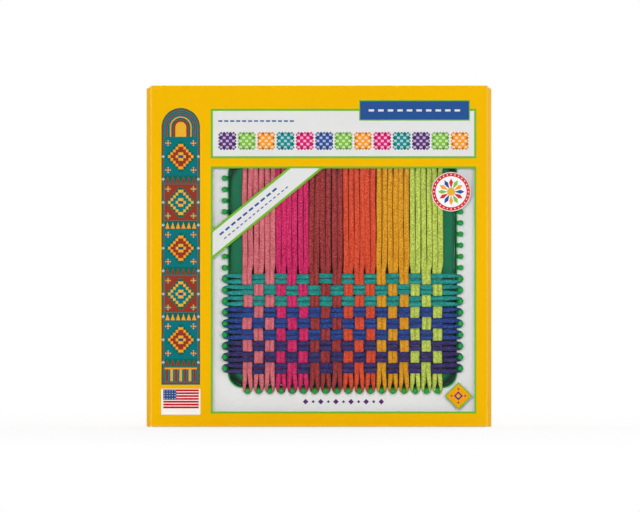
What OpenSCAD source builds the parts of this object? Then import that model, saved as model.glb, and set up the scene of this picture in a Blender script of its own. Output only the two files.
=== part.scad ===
// Boxed potholder loom: a tuck-top window carton that holds a pressed metal loom strung with cotton loops.
// The carton stands upright on its bottom flaps, its front faces -Y, and the origin is under its middle.

/* [Carton] */
// Depth of the store behind the insert
store_d = 28.9; // [26:0.1:40]
// How far each side wall bows out at mid depth
wall_bow = 2.7; // [1.5:0.1:4]
// Thickness of the carton board
board_t = 0.8; // [0.6:0.05:0.9]
// Gap between folded flaps that slide past each other
fold_gap = 0.2; // [0.15:0.05:0.3]

/* [Lid flaps] */
// Length of the tuck flap below the lid
tuck_l = 18; // [12:0.5:19]
// Angle at which the tuck flap leans into the carton
tuck_lean = 14; // [13:0.5:20]
// How far the tuck flap stops short of the lid's side edges
tuck_inset = 8; // [5:0.5:14]
// Corner radius of the tuck flap
tuck_r = 9; // [4:0.5:11]
// Length of each dust flap from its fold
dust_l = 28; // [20:0.5:29]
// Distance of a dust flap's root from the lid fold
dust_root = 2.5; // [2:0.1:5]
// Distance of a dust flap's front edge from the front panel
dust_front = 3; // [2.5:0.1:5]
// How far a dust flap's front edge draws back towards its tip
dust_taper = 6; // [5:0.25:8]
// Rise of a dust flap for each degree that the lid opens
dust_ratio = 0.75; // [0.7:0.01:0.78]

/* [Bottom flaps] */
// Gap between the bottom flaps and the side walls
bottom_gap = 0.2; // [0.1:0.05:0.4]
// How far the inner bottom flap stops short of the front panel
inner_flap_short = 6; // [2:0.5:15]
// Length of each bottom dust flap
bottom_dust_l = 45; // [30:1:60]
// Width of the glue seam's flap
glue_w = 14; // [10:0.5:18]
// Distance of the glue flap from the carton's ends
glue_end = 20; // [15:1:30]

/* [Window] */
// Distance from the pattern band to the window
band_gap = 9.25; // [6:0.05:14]
// Distance from the window to the right fold
window_side = 9.6; // [8:0.1:16]
// Height of the window's lower edge
window_sill = 11.4; // [11:0.1:14]
// Width of the window
window_w = 193.2; // [188:0.2:196]
// Height of the window
window_h = 179.5; // [175:0.5:182]
// Thickness of the clear film
film_t = 0.2; // [0.15:0.05:0.3]
// Margin by which the film is glued behind the panel
film_margin = 6; // [4:0.25:7]
// Angle of the banner across the window's upper left corner
banner_angle = 39.3; // [36:0.1:44]
// Width of the banner
banner_w = 16.6; // [12:0.2:20]
// Distance from the window's corner down its left edge to the banner
banner_drop = 45.2; // [38:0.2:52]

/* [Labels] */
// Thickness of a paper label
label_t = 0.1; // [0.08:0.01:0.15]
// How far the title label reaches past the window at each side
title_out = 1.45; // [0:0.05:3]
// Height of the title label
title_h = 36.7; // [30:0.1:44]
// Distance from the window up to the title label
title_gap = 7.3; // [6:0.1:12]
// Distance from the title label up to the lid
title_top = 17.1; // [12:0.1:24]
// Width of the name plate, which is left without words
plate_w = 81.7; // [60:0.1:90]
// Height of the name plate
plate_h = 15.1; // [10:0.1:17]
// How far the name plate laps over the title label
plate_lap = 8.8; // [4:0.1:12]
// Distance between the right edges of the title label and the name plate
plate_inset = 4.8; // [2:0.1:10]
// Distance from the left fold to the pattern band
band_side = 8.05; // [6:0.05:14]
// Width of the pattern band
band_w = 28.5; // [24:0.1:34]
// Distance from the top of the pattern band's arch to the lid
band_top = 16.55; // [12:0.05:24]
// Width of the flag label
flag_w = 28.9; // [26:0.1:30]
// Height of the flag label
flag_h = 19.1; // [16:0.1:20]
// Height of the flag label's lower edge
flag_z = 9.1; // [6:0.1:14]
// Distance from the flag label up to the pattern band
flag_gap = 3; // [1:0.1:6]
// Radius of the round seal
seal_r = 14.5; // [12:0.1:16]
// Distance of the seal's middle from the window's right edge
seal_in = 17.2; // [17:0.1:22]
// Distance of the seal's middle from the window's upper edge
seal_down = 17.3; // [17:0.1:24]
// Half diagonal of the diamond sticker
diamond_r = 10.2; // [8:0.1:10.8]
// Distance of the diamond's middle from the window's right edge
diamond_in = 11.8; // [11.2:0.1:14]
// Distance of the diamond's middle from the window's lower edge
diamond_up = 11.6; // [11.2:0.1:14]

/* [Insert] */
// Thickness of the insert card
card_t = 0.8; // [0.6:0.05:1]
// Distance from the insert's upper edge to the top of the carton
insert_drop = 24; // [23:0.5:38]
// Gap between the insert and the carton
insert_gap = 0.3; // [0.2:0.05:0.6]
// Length of each card tab that the loom hangs on
tab_l = 30; // [20:1:60]
// How far each tab stands out of the card
tab_h = 3; // [2:0.1:3.5]
// Gap between the tabs and the loom's inner lip
tab_gap = 0.3; // [0.2:0.05:0.5]

/* [Loom] */
// How far the loom sits to the left of the window's middle
loom_shift = 0.7; // [-3:0.1:3]
// Height of the loom's middle over the window's lower edge
loom_up = 102.1; // [100:0.1:104]
// Distance from the last peg of a side to the loom's corner
corner_end = 14.19; // [13:0.01:16]
// Radius of the loom's outer corners
loom_r = 11; // [8:0.25:12]
// Radius of the corners of the loom's opening
opening_r = 4; // [2:0.25:6]
// Width of the loom's flange
flange_w = 15.4; // [12:0.1:17]
// Thickness of the sheet metal
metal_t = 1; // [0.8:0.05:1.2]
// Height of the loom's outer wall
wall_h = 5; // [4:0.1:5.4]
// Height of the lip round the loom's opening
lip_h = 2.4; // [1.6:0.1:3]
// Distance from peg to peg
peg_pitch = 8.26; // [8.2:0.01:8.32]
// Radius of a peg's neck
neck_r = 1.1; // [0.9:0.05:1.2]
// Radius of a peg's knob
knob_r = 2.1; // [1.8:0.05:2.3]
// How far a knob's middle stands outside the middle of the wall
knob_out = 2.9; // [2.6:0.05:3.1]
// Gap between a knob and the loop under it
knob_clear = 0.5; // [0.3:0.05:1]
// Gap between the knobs and the window film
knob_gap = 0.6; // [0.4:0.05:1.5]

/* [Loops] */
// Gap between neighbouring loops
loop_gap = 1.16; // [0.8:0.02:1.6]
// Thickness of a strand
loop_t = 2; // [1.7:0.05:2.1]
// Gap between the loops and the loom's wall under them
wall_gap = 1; // [0.4:0.05:2]
// Gap between a loop that passes over and one that passes under
cross_gap = 0.2; // [0.15:0.05:0.3]
// Gap between the two strands of a loop
strand_gap = 0.5; // [0.3:0.05:0.8]
// Clearance round the neck of a peg
neck_gap = 0.2; // [0.15:0.05:0.3]
// Width of a strand where it turns round its peg
turn_w = 1.2; // [1:0.05:1.5]
// Length over which a loop comes to its level beside the weave
ease_l = 1.8; // [1.5:0.1:3]

/* [Kit in the back] */
// Length of the weaving hook
hook_l = 150; // [120:1:180]
// Radius of the hook's wire
hook_wire_r = 1.3; // [1:0.05:1.6]
// Radius of the ring at the hook's handle end
hook_ring_r = 8; // [6:0.25:9]
// Radius of the bend at the hook's working end
hook_bend_r = 2.6; // [2:0.1:4]
// Distance from the weaving hook's middle to the insert's right leg
hook_side = 14.4; // [12:0.1:18]
// Width of the bag of spare loops
bag_w = 170; // [140:1:180]
// Height of the bag
bag_h = 150; // [120:1:180]
// Gap in front of the bag and behind it
bag_gap = 1.85; // [0.5:0.05:4]
// Distance from the bag to the weaving hook
bag_side = 4.3; // [2:0.1:8]
// Width of the folded leaflet
leaflet_w = 140; // [120:1:150]
// Height of the folded leaflet
leaflet_h = 200; // [150:1:215]
// Thickness of each half of the leaflet
leaflet_t = 0.4; // [0.3:0.05:0.6]

/* [Hidden] */
$fn = 72;
peg_count = 18;
weft_count = 9;
cut_depth = 30;

peg_span = peg_pitch * (peg_count - 1);
loop_w = peg_pitch - loop_gap;
loop_h = wall_h + wall_gap + loop_t / 2;
knob_h = loop_h + loop_t / 2 + knob_clear + knob_r;
loom_h = knob_h + knob_r;
loom_w = peg_span + 2 * corner_end;

carton_w = band_side + band_w + band_gap + window_w + window_side;
carton_h = window_sill + window_h + title_gap + title_h + title_top;
carton_d = 2 * label_t + 2 * board_t + film_t + knob_gap + loom_h + card_t + store_d;

front_y = -carton_d / 2 + 2 * label_t;
front_in = front_y + board_t;
back_y = carton_d / 2;
back_in = back_y - board_t;
lid_under = carton_h - board_t;
wall_top = lid_under - fold_gap - board_t;
bottom_top = 3 * board_t;

wall_chord = back_in - front_in;
wall_mid_y = (front_in + back_in) / 2;
wall_r = (wall_chord * wall_chord / 4 + wall_bow * wall_bow) / (2 * wall_bow);
wall_centre_x = carton_w / 2 + wall_bow - wall_r;
wall_inner_x = wall_centre_x + sqrt((wall_r - board_t) * (wall_r - board_t) - wall_chord * wall_chord / 4);
bottom_half = wall_inner_x - bottom_gap;

lid_front = front_in + fold_gap;
tuck_pivot_y = lid_front + board_t * cos(tuck_lean);
tuck_half = carton_w / 2 - tuck_inset;
dust_far = back_y - front_in - dust_front;

window_right = carton_w / 2 - window_side;
window_left = window_right - window_w;
window_top = window_sill + window_h;
title_w = window_w + 2 * title_out;
title_right = window_right + title_out;
title_z = window_top + title_gap;
plate_z = title_z + title_h - plate_lap;
band_x = carton_w / 2 - band_side - band_w / 2;
band_z = flag_z + flag_h + flag_gap;
band_h = carton_h - band_top - band_w / 2 - band_z;
seal_x = window_right - seal_in;
seal_z = window_top - seal_down;
diamond_x = window_right - diamond_in;
diamond_z = window_sill + diamond_up;

loom_x = (window_left + window_right) / 2 - loom_shift;
loom_z = window_sill + loom_up;
card_y = front_in + film_t + knob_gap + loom_h;
card_back = card_y + card_t;
insert_half = wall_inner_x - insert_gap;
insert_z = bottom_top;
insert_top = carton_h - insert_drop;
store_end = back_in - board_t - insert_gap;

loom_half = loom_w / 2;
opening_half = loom_half - flange_w;
post_u = loom_half - metal_t / 2;
post_base = wall_h - neck_r / 2;
neck_rise = knob_h - post_base;
neck_lean = atan(knob_out / neck_rise);
neck_l = sqrt(knob_out * knob_out + neck_rise * neck_rise);
first_peg = -peg_span / 2;

loop_half = loop_w / 2;
level = (loop_t + cross_gap) / 2;
taper_start = -first_peg + loop_half;
hole_r = neck_r / cos(neck_lean) + neck_gap;
turn_in = neck_u(loop_h - loop_t / 2);
turn_out = neck_u(loop_h + loop_t / 2);
turn_r = hole_r + turn_w;
loop_end = turn_out + turn_r;

leaflet_fold_t = 3 * leaflet_t;
hook_x = insert_half - card_t - hook_side;
bag_right = hook_x - hook_ring_r - hook_wire_r - bag_side;
bag_y = (card_back + back_in - leaflet_fold_t) / 2;
bag_t = store_d - leaflet_fold_t - 2 * bag_gap;
bag_r = (bag_h * bag_h / 4 + bag_t * bag_t / 4) / bag_t;

warp_colours = ["#de606f", "#cd2369", "#962d2d", "#e14b2d", "#e69614", "#b4cd50"];
weft_colours = ["#3c376e", "#2d4b96", "#23968c"];

function neck_u(h) = post_u + (h - post_base) * knob_out / neck_rise;
function peg_place(i) = first_peg + peg_pitch * i;

// A warp loop passes over the weft where its column and the row, both counted from 0, add up to an even number.
function warp_level(column, row) = (column + row) % 2 == 0 ? level : -level;
function numbered(name, i) = str(name, i < 10 ? "0" : "", i);

warp_names = [for (i = [1 : peg_count]) numbered("warp_loop_", i)];
weft_names = [for (i = [1 : weft_count]) numbered("weft_loop_", i)];

// Draws a front view so that its z runs towards the viewer from the plane y = y0
module facing(y0) {
    translate([0, y0, 0]) rotate([90, 0, 0]) children();
}

module rounded_square(half, r) {
    square([2 * half, 2 * (half - r)], center = true);
    square([2 * (half - r), 2 * half], center = true);
    for (x = [-1, 1], y = [-1, 1])
        translate([x * (half - r), y * (half - r)]) circle(r);
}

module window_outline() {
    translate([window_left, window_sill]) square([window_w, window_h]);
}

module banner_outline() {
    intersection() {
        window_outline();
        translate([window_left, window_top - banner_drop])
            rotate(banner_angle)
                translate([-banner_w, -banner_w]) square([window_w, banner_w]);
    }
}

module front_panel() {
    color("#f5b901")
        facing(front_in)
            linear_extrude(board_t)
                difference() {
                    translate([-carton_w / 2, 0]) square([carton_w, carton_h]);
                    difference() {
                        window_outline();
                        banner_outline();
                    }
                }
}

module back_panel() {
    color("#f5b901")
        translate([-carton_w / 2, back_in, 0])
            cube([carton_w, board_t, lid_under]);
}

// A bowed wall with the narrow turned-in edges where its flaps fold
module side_wall() {
    color("#e5a601") {
        linear_extrude(wall_top)
            intersection() {
                translate([wall_centre_x, wall_mid_y]) difference() {
                    circle(wall_r, $fn = 180);
                    circle(wall_r - board_t, $fn = 180);
                }
                translate([0, front_in]) square([carton_w, wall_chord]);
            }
        for (z = [0, wall_top - board_t])
            translate([0, 0, z])
                linear_extrude(board_t)
                    intersection() {
                        translate([wall_centre_x, wall_mid_y]) circle(wall_r - board_t / 2, $fn = 180);
                        translate([wall_inner_x, front_in]) square([carton_w, wall_chord]);
                    }
    }
}

module glue_flap() {
    color("#c8b08a")
        translate([-bottom_half, back_in - board_t, glue_end])
            cube([glue_w, board_t, lid_under - 2 * glue_end]);
}

module bottom_outer_flap() {
    color("#f5b901")
        translate([-bottom_half, front_in, 0])
            cube([2 * bottom_half, wall_chord, board_t]);
}

module bottom_inner_flap() {
    color("#d8c9a8")
        translate([-bottom_half, front_in + inner_flap_short, board_t])
            cube([2 * bottom_half, wall_chord - inner_flap_short, board_t]);
}

module bottom_dust_flap() {
    color("#d8c9a8")
        translate([bottom_half - bottom_dust_l, front_in + fold_gap, 2 * board_t])
            cube([bottom_dust_l, wall_chord - 2 * fold_gap, board_t]);
}

module top_lid() {
    color("#f5b901")
        translate([-carton_w / 2, lid_front, lid_under])
            cube([carton_w, back_y - lid_front, board_t]);
}

module tuck_outline() {
    translate([-tuck_half, 0]) square([2 * tuck_half, tuck_l - tuck_r]);
    translate([-tuck_half + tuck_r, 0]) square([2 * (tuck_half - tuck_r), tuck_l]);
    for (x = [-1, 1])
        translate([x * (tuck_half - tuck_r), tuck_l - tuck_r]) circle(tuck_r);
}

module top_tuck_flap() {
    color("#e9ae02")
        translate([0, tuck_pivot_y, lid_under])
            rotate([tuck_lean - 90, 0, 0])
                rotate([0, 180, 0])
                    linear_extrude(board_t) tuck_outline();
}

// Drawn from the back end of its fold: x runs into the carton, y towards the front
module dust_outline() {
    polygon([
        [0, dust_root],
        [dust_l, dust_root + dust_ratio * dust_l],
        [dust_l, dust_far - dust_taper],
        [dust_taper / 2, dust_far],
        [0, dust_far]
    ]);
}

module top_dust_flap() {
    color("#e9ae02")
        translate([carton_w / 2, back_y, wall_top])
            rotate(180) linear_extrude(board_t) dust_outline();
}

module window_film() {
    color("#e8f4f8", 0.3)
        facing(front_in + film_t)
            translate([window_left - film_margin, window_sill - film_margin])
                cube([window_w + 2 * film_margin, window_h + 2 * film_margin, film_t]);
}

module corner_banner() {
    color("#e6e6e6")
        facing(front_y) linear_extrude(label_t) banner_outline();
}

module title_label() {
    color("#e6e6e6")
        facing(front_y)
            translate([title_right - title_w, title_z])
                cube([title_w, title_h, label_t]);
}

module name_plate_label() {
    color("#2d5594")
        facing(front_y - label_t)
            translate([title_right - plate_inset - plate_w, plate_z])
                cube([plate_w, plate_h, label_t]);
}

module pattern_band_label() {
    color("#1d8a86")
        facing(front_y)
            translate([-band_x, band_z])
                linear_extrude(label_t) {
                    translate([-band_w / 2, 0]) square([band_w, band_h]);
                    translate([0, band_h]) circle(band_w / 2);
                }
}

module flag_label() {
    color("#f0f0f0")
        facing(front_y)
            translate([-band_x - flag_w / 2, flag_z])
                cube([flag_w, flag_h, label_t]);
}

module round_seal() {
    color("#d0402c")
        facing(front_in)
            translate([seal_x, seal_z]) cylinder(h = label_t, r = seal_r);
}

module diamond_sticker() {
    color("#f09a20")
        facing(front_in)
            translate([diamond_x, diamond_z])
                linear_extrude(label_t)
                    polygon([[diamond_r, 0], [0, diamond_r], [-diamond_r, 0], [0, -diamond_r]]);
}

module insert_face() {
    color("#e6e6e6")
        translate([-insert_half, card_y, insert_z])
            cube([2 * insert_half, card_t, insert_top - insert_z]);
}

module insert_leg() {
    color("#e6e6e6")
        translate([insert_half - card_t, card_back, insert_z])
            cube([card_t, store_end - card_back, insert_top - insert_z]);
}

// Four tabs folded out of the card, just inside the loom's lip
module insert_tabs() {
    color("#e6e6e6")
        facing(card_y)
            translate([loom_x, loom_z])
                for (turn = [0 : 90 : 270])
                    rotate(turn)
                        translate([opening_half - tab_gap - card_t, -tab_l / 2])
                            cube([card_t, tab_l, tab_h]);
}

module peg() {
    translate([post_u, 0, post_base])
        rotate([0, neck_lean, 0]) cylinder(h = neck_l, r = neck_r, $fn = 24);
    translate([post_u + knob_out, 0, knob_h]) sphere(knob_r, $fn = 32);
}

module loom_frame() {
    color("#1f7a4c")
        facing(card_y)
            translate([loom_x, loom_z]) {
                linear_extrude(metal_t) difference() {
                    rounded_square(loom_half, loom_r);
                    rounded_square(opening_half, opening_r);
                }
                linear_extrude(wall_h) difference() {
                    rounded_square(loom_half, loom_r);
                    rounded_square(loom_half - metal_t, loom_r - metal_t);
                }
                linear_extrude(lip_h) difference() {
                    rounded_square(opening_half + metal_t, opening_r + metal_t);
                    rounded_square(opening_half, opening_r);
                }
                for (turn = [0 : 90 : 270], i = [0 : peg_count - 1])
                    rotate(turn) translate([0, peg_place(i), 0]) peg();
            }
}

// The upper edge of a loop's plan, given right to left, and the same edge mirrored below
function both_edges(half) =
    let (upper = concat(half, [for (i = [len(half) - 1 : -1 : 0]) [-half[i][0], half[i][1]]]))
    concat(upper, [for (i = [len(upper) - 1 : -1 : 0]) [upper[i][0], -upper[i][1]]]);

// Plan of a loop along x: two strands that part round the peg at each end
module loop_plan() {
    difference() {
        union() {
            polygon(both_edges([[turn_out, turn_r], [taper_start, loop_half]]));
            for (side = [-1, 1])
                translate([side * turn_out, 0]) circle(turn_r, $fn = 36);
        }
        polygon(both_edges([[turn_out, hole_r], [turn_in, hole_r], [taper_start, strand_gap / 2]]));
        for (side = [-1, 1], u = [turn_in, turn_out])
            translate([side * u, 0]) circle(hole_r, $fn = 36);
    }
}

// The corners of one face of a loop, seen from the side, where levels holds its height at each crossing
function loop_face(levels) =
    let (
        last = len(levels) - 1,
        start = peg_place(0) - loop_half - ease_l,
        end = peg_place(last) + loop_half + ease_l
    )
    concat(
        [[-loop_end, 0], [start, 0]],
        [for (i = [0 : last], side = [-1, 1]) [peg_place(i) + side * loop_half, levels[i]]],
        [[end, 0], [loop_end, 0]]
    );

function raised(points, h) = [for (p = points) [p[0], p[1] + h]];
function turned_round(points) = [for (i = [len(points) - 1 : -1 : 0]) points[i]];

// A loop along x whose middle follows levels
module woven_loop(levels) {
    face = loop_face(levels);
    intersection() {
        linear_extrude(cut_depth) loop_plan();
        translate([0, loop_w, loop_h])
            rotate([90, 0, 0])
                linear_extrude(2 * loop_w)
                    polygon(concat(raised(face, loop_t / 2), turned_round(raised(face, -loop_t / 2))));
    }
}

module warp_loop(column) {
    color(warp_colours[floor(column / 3)])
        facing(card_y)
            translate([loom_x + peg_place(column), loom_z])
                rotate(90)
                    woven_loop([for (row = [0 : weft_count - 1]) warp_level(column, row)]);
}

module weft_loop(row) {
    color(weft_colours[floor(row / 3)])
        facing(card_y)
            translate([loom_x, loom_z + peg_place(row)])
                woven_loop([for (column = [0 : peg_count - 1]) -warp_level(column, row)]);
}

// A straight wire with a ring to hold at the bottom and an open bend at the top
module weaving_hook() {
    ring_mid = insert_z + hook_wire_r + hook_ring_r;
    bend_z = insert_z + hook_l - hook_bend_r - hook_wire_r;
    color("#b8bcc0")
        translate([hook_x, (card_back + store_end) / 2, 0]) {
            translate([0, 0, ring_mid])
                rotate([90, 0, 0])
                    rotate_extrude() translate([hook_ring_r, 0]) circle(hook_wire_r, $fn = 24);
            translate([0, 0, ring_mid + hook_ring_r])
                cylinder(h = bend_z - ring_mid - hook_ring_r, r = hook_wire_r, $fn = 24);
            translate([-hook_bend_r, 0, bend_z])
                rotate([90, 0, 0])
                    rotate_extrude(angle = 180) translate([hook_bend_r, 0]) circle(hook_wire_r, $fn = 24);
            translate([-2 * hook_bend_r, 0, bend_z]) sphere(hook_wire_r, $fn = 24);
        }
}

module loop_bag() {
    color("#cfe3ea", 0.5)
        translate([bag_right - bag_w, bag_y, insert_z + bag_h / 2])
            rotate([90, 0, 90])
                linear_extrude(bag_w)
                    intersection_for (side = [-1, 1])
                        translate([side * (bag_r - bag_t / 2), 0]) circle(bag_r, $fn = 180);
}

// One sheet folded in half, standing against the back panel
module leaflet() {
    color("#f4f1e8")
        translate([-leaflet_w / 2, back_in - leaflet_fold_t, insert_z])
            linear_extrude(leaflet_h)
                difference() {
                    square([leaflet_w, leaflet_fold_t]);
                    translate([leaflet_t, leaflet_t]) square([leaflet_w, leaflet_t]);
                }
}

front_panel();
back_panel();
mirror([1, 0, 0]) side_wall();  // left_wall
side_wall();  // right_wall
glue_flap();
bottom_outer_flap();
bottom_inner_flap();
mirror([1, 0, 0]) bottom_dust_flap();  // bottom_left_dust_flap
bottom_dust_flap();  // bottom_right_dust_flap
top_lid();
top_tuck_flap();
mirror([1, 0, 0]) top_dust_flap();  // top_left_dust_flap
top_dust_flap();  // top_right_dust_flap
window_film();
corner_banner();
title_label();
name_plate_label();
pattern_band_label();
flag_label();
round_seal();
diamond_sticker();
insert_face();
mirror([1, 0, 0]) insert_leg();  // insert_left_leg
insert_leg();  // insert_right_leg
insert_tabs();
loom_frame();
weaving_hook();
loop_bag();
leaflet();
for (i = [0 : peg_count - 1])
    warp_loop(i);
for (i = [0 : weft_count - 1])
    weft_loop(i);
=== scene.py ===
"""Looks of the boxed potholder loom: carton, labels, card insert, pressed loom and cotton loops."""

import math
import random

import bmesh
import bpy
from bpy.props import FloatProperty, FloatVectorProperty, PointerProperty
from mathutils import Matrix, Vector, noise


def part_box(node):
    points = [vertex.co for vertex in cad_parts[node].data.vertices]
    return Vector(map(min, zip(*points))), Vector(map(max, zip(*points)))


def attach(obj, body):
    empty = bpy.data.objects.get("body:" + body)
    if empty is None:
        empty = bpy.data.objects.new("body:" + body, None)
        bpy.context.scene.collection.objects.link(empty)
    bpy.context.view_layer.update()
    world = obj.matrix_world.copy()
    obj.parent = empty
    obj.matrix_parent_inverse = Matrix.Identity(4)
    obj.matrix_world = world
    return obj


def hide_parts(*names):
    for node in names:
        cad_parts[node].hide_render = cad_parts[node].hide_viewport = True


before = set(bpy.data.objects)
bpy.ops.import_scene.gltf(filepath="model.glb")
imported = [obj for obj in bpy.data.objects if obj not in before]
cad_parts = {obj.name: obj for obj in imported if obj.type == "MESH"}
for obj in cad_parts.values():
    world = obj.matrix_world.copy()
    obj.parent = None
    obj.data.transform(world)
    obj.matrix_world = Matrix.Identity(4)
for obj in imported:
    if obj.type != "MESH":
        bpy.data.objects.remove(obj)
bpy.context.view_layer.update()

bl_info = {
    "name": "Potholder Loom Kit",
    "version": (1, 0, 0),
    "blender": (4, 5, 0),
    "location": "3D View > Sidebar > Loom Kit",
    "description": "Dresses a boxed potholder loom with its carton, labels, insert, loom and loops",
    "category": "Object",
}

MM = 0.001

PEGS = 18
WEFTS = 9
COLOUR_RUN = 3  # loops of one colour side by side
WARP_KEYS = ["pink", "magenta", "dark_red", "orange_red", "amber", "lime"]
WEFT_KEYS = ["navy", "blue", "teal"]
SPARE_LOOPS = 54
ROOT = "carton"
UP = Vector((0, 0, 1))
NEAR = 1e-6  # places closer than this are the same
INK = 0.02 * MM  # thickness of one layer of a print
TINT = 0.42
WHITE = (1, 1, 1, 1)
FACE_FRONT = Matrix.Rotation(math.pi / 2, 4, "X")
LAMPS = (  # name, place, size and power
    ("key", (0.0, -3.0, 0.43), 0.35, 20.8),
    ("front left", (-0.36, -3.0, 0.2), 0.35, 17.2),
    ("front right", (0.43, -3.0, 0.2), 0.35, 14.8),
    ("top", (0.0, 0.1, 2.4), 1.6, 19.0),
    ("left", (-2.4, 0.5, 0.9), 1.4, 26.0),
    ("right", (2.4, 0.5, 0.9), 1.4, 26.0),
    ("back", (0.5, 2.6, 1.0), 1.6, 34.0),
)


def corners(node):
    """Lowest and highest corner of a CAD node at rest."""
    low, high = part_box(node)
    return Vector(low), Vector(high)


def middle_and_half(node):
    """Middle of a CAD node at rest, and its half size."""
    low, high = corners(node)
    return (low + high) / 2, (high - low) / 2


def paint(red, green, blue):
    """Linear colour from display values of 0 to 255."""
    return tuple(
        value / 255 / 12.92 if value <= 10 else ((value / 255 + 0.055) / 1.055) ** 2.4
        for value in (red, green, blue)
    )


def colour(name, description, red, green, blue):
    return FloatVectorProperty(
        name=name, description=description, default=paint(red, green, blue),
        subtype="COLOR", size=3, min=0.0, max=1.0,
    )


def length(name, description, millimetres):
    return FloatProperty(
        name=name, description=description, default=millimetres * MM,
        min=0.0, unit="LENGTH", subtype="DISTANCE",
    )


FRONT_LOW, FRONT_HIGH = corners("front_panel")
BACK_HIGH = corners("back_panel")[1]
WALL_HIGH = corners("right_wall")[1]
CARD_LOW = corners("insert_face")[0]
LOOM_LOW, LOOM_HIGH = corners("loom_frame")
LOOM_MIDDLE = (LOOM_LOW + LOOM_HIGH) / 2
BOARD = FRONT_HIGH.y - FRONT_LOW.y
FOLD_X = FRONT_HIGH.x
FIRST_PEG = middle_and_half("weft_loop_01")[0].z - LOOM_MIDDLE.z


class CartonProperties(bpy.types.PropertyGroup):
    """Colours and sizes of the folded carton."""

    yellow: colour("Print", "Yellow print on the outside of the board", 236, 179, 0)
    core: colour("Core", "Cut edges of the board", 222, 214, 196)
    inside: colour("Inside", "Unprinted inside of the board", 214, 208, 196)
    lime: colour("Lime", "Border lines on the front", 113, 178, 46)
    fold_radius: length("Fold radius", "Outer radius of a fold in the board", 0.9)
    border: length("Border", "Width of the border line round the window", 1.45)


class LabelProperties(bpy.types.PropertyGroup):
    """Inks of the labels and stickers."""

    ground: colour("Ground", "Light grey of the labels", 220, 221, 220)
    white: colour("White", "White of the flag label and the seal", 238, 238, 238)
    name_blue: colour("Name plate", "Blue of the name plate", 40, 80, 142)
    ink_blue: colour("Blue", "Blue of the small marks", 44, 78, 150)
    purple: colour("Purple", "Purple of the marks", 92, 48, 122)
    green: colour("Green", "Green of the marks", 128, 188, 62)
    orange: colour("Orange", "Orange of the marks", 240, 152, 34)
    gold: colour("Gold", "Ground of the diamond", 238, 161, 2)
    teal: colour("Teal", "Teal of the marks", 20, 138, 140)
    band_teal: colour("Band teal", "Teal ground of the pattern band", 8, 112, 116)
    band_blue: colour("Band blue", "Blue of the pattern band", 44, 72, 128)
    magenta: colour("Magenta", "Magenta of the marks", 214, 28, 116)
    deep_green: colour("Deep green", "Edge of the pattern band", 12, 98, 84)
    brick: colour("Brick", "Brick red of the pattern", 142, 54, 38)
    corn: colour("Corn", "Yellow of the pattern", 226, 170, 46)
    red: colour("Red", "Red of the seal", 208, 44, 46)
    flag_red: colour("Flag red", "Red of the stripes", 192, 22, 34)
    line: length("Line", "Width of a label's border line", 1.65)


class LoomProperties(bpy.types.PropertyGroup):
    """Enamel and peg shape of the pressed loom."""

    peg_green: colour("Pegs", "Enamel on the pegs and the rim", 34, 165, 76)
    # The channel colour is the peg enamel darkened as painted shade for the deep channel.
    channel_green: colour("Channel", "Enamel in the channel, darkened as painted shade", 21, 120, 82)
    knob_radius: length("Knob radius", "Radius of the round end of a peg", 2.1)
    knob_reach: length("Knob reach", "How far a knob stands outside its wall", 2.9)
    neck_foot: length("Neck foot", "Half width of a peg where it leaves the wall", 1.75)
    neck_waist: length("Neck waist", "Half width of a peg below its knob", 1.2)
    metal: length("Metal", "Thickness of the sheet", 1.0)
    wall: length("Wall", "Height of the outer wall", 5.0)
    flange: length("Flange", "Width of the flange", 15.4)
    spread: length("Spread", "How far the enamel and the bent pegs stand outside the bare metal", 0.45)


class LoopProperties(bpy.types.PropertyGroup):
    """Cotton colours and strand sizes of the loops."""

    pink: colour("Pink", "First three warp loops", 240, 108, 118)
    magenta: colour("Magenta", "Warp loops four to six", 224, 26, 99)
    dark_red: colour("Dark red", "Warp loops seven to nine", 154, 46, 46)
    orange_red: colour("Orange red", "Warp loops ten to twelve", 246, 72, 36)
    amber: colour("Amber", "Warp loops thirteen to fifteen", 255, 152, 2)
    lime: colour("Lime", "Last three warp loops", 188, 212, 84)
    navy: colour("Navy", "Three lowest weft loops", 46, 38, 98)
    blue: colour("Blue", "Three middle weft loops", 26, 61, 134)
    teal: colour("Teal", "Three highest weft loops", 12, 142, 134)
    half_width: length("Half width", "Half width of a strand that lies free", 2.03)
    warp_half_width: length("Warp half width", "Half width of a warp strand inside the weave", 1.85)
    weft_half_width: length("Weft half width", "Half width of a weft strand", 1.95)
    rise: length("Rise", "Height of a strand's middle over or under the weave's middle", 1.15)
    lean: FloatProperty(
        name="Lean", description="How far a strand turns on edge at its peg",
        default=math.radians(38), subtype="ANGLE",
    )
    warp_turn: length("Warp turn", "Radius of a warp loop round its peg", 2.45)
    weft_turn: length("Weft turn", "Radius of a weft loop round its peg", 2.1)
    weft_climb: length("Weft climb", "How far a weft loop rides up its peg", 0.9)
    warp_press: length("Warp press", "How far a warp loop's strands press together", 0.22)
    weft_press: length("Weft press", "How far a weft loop's strands press together", 0.03)


class KitProperties(bpy.types.PropertyGroup):
    """Insert and loose pieces."""

    card: colour("Card", "Light grey insert card", 250, 250, 251)
    # Painted shade: this near black goes on the card where the loops lie above it.
    field: colour("Field", "Painted shade on the insert behind the loops", 30, 24, 26)
    steel: colour("Wire", "Weaving hook", 186, 190, 194)
    leaflet: colour("Leaflet", "Folded leaflet", 244, 241, 232)


class StageProperties(bpy.types.PropertyGroup):
    """Floor, light and camera."""

    floor: colour("Floor", "Pale floor", 240, 240, 240)
    lens: FloatProperty(name="Lens", description="Focal length", default=400.0, unit="CAMERA")
    pixel: length("Pixel", "Width of one photograph pixel at the carton's front", 0.738)


# Node trees


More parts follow.
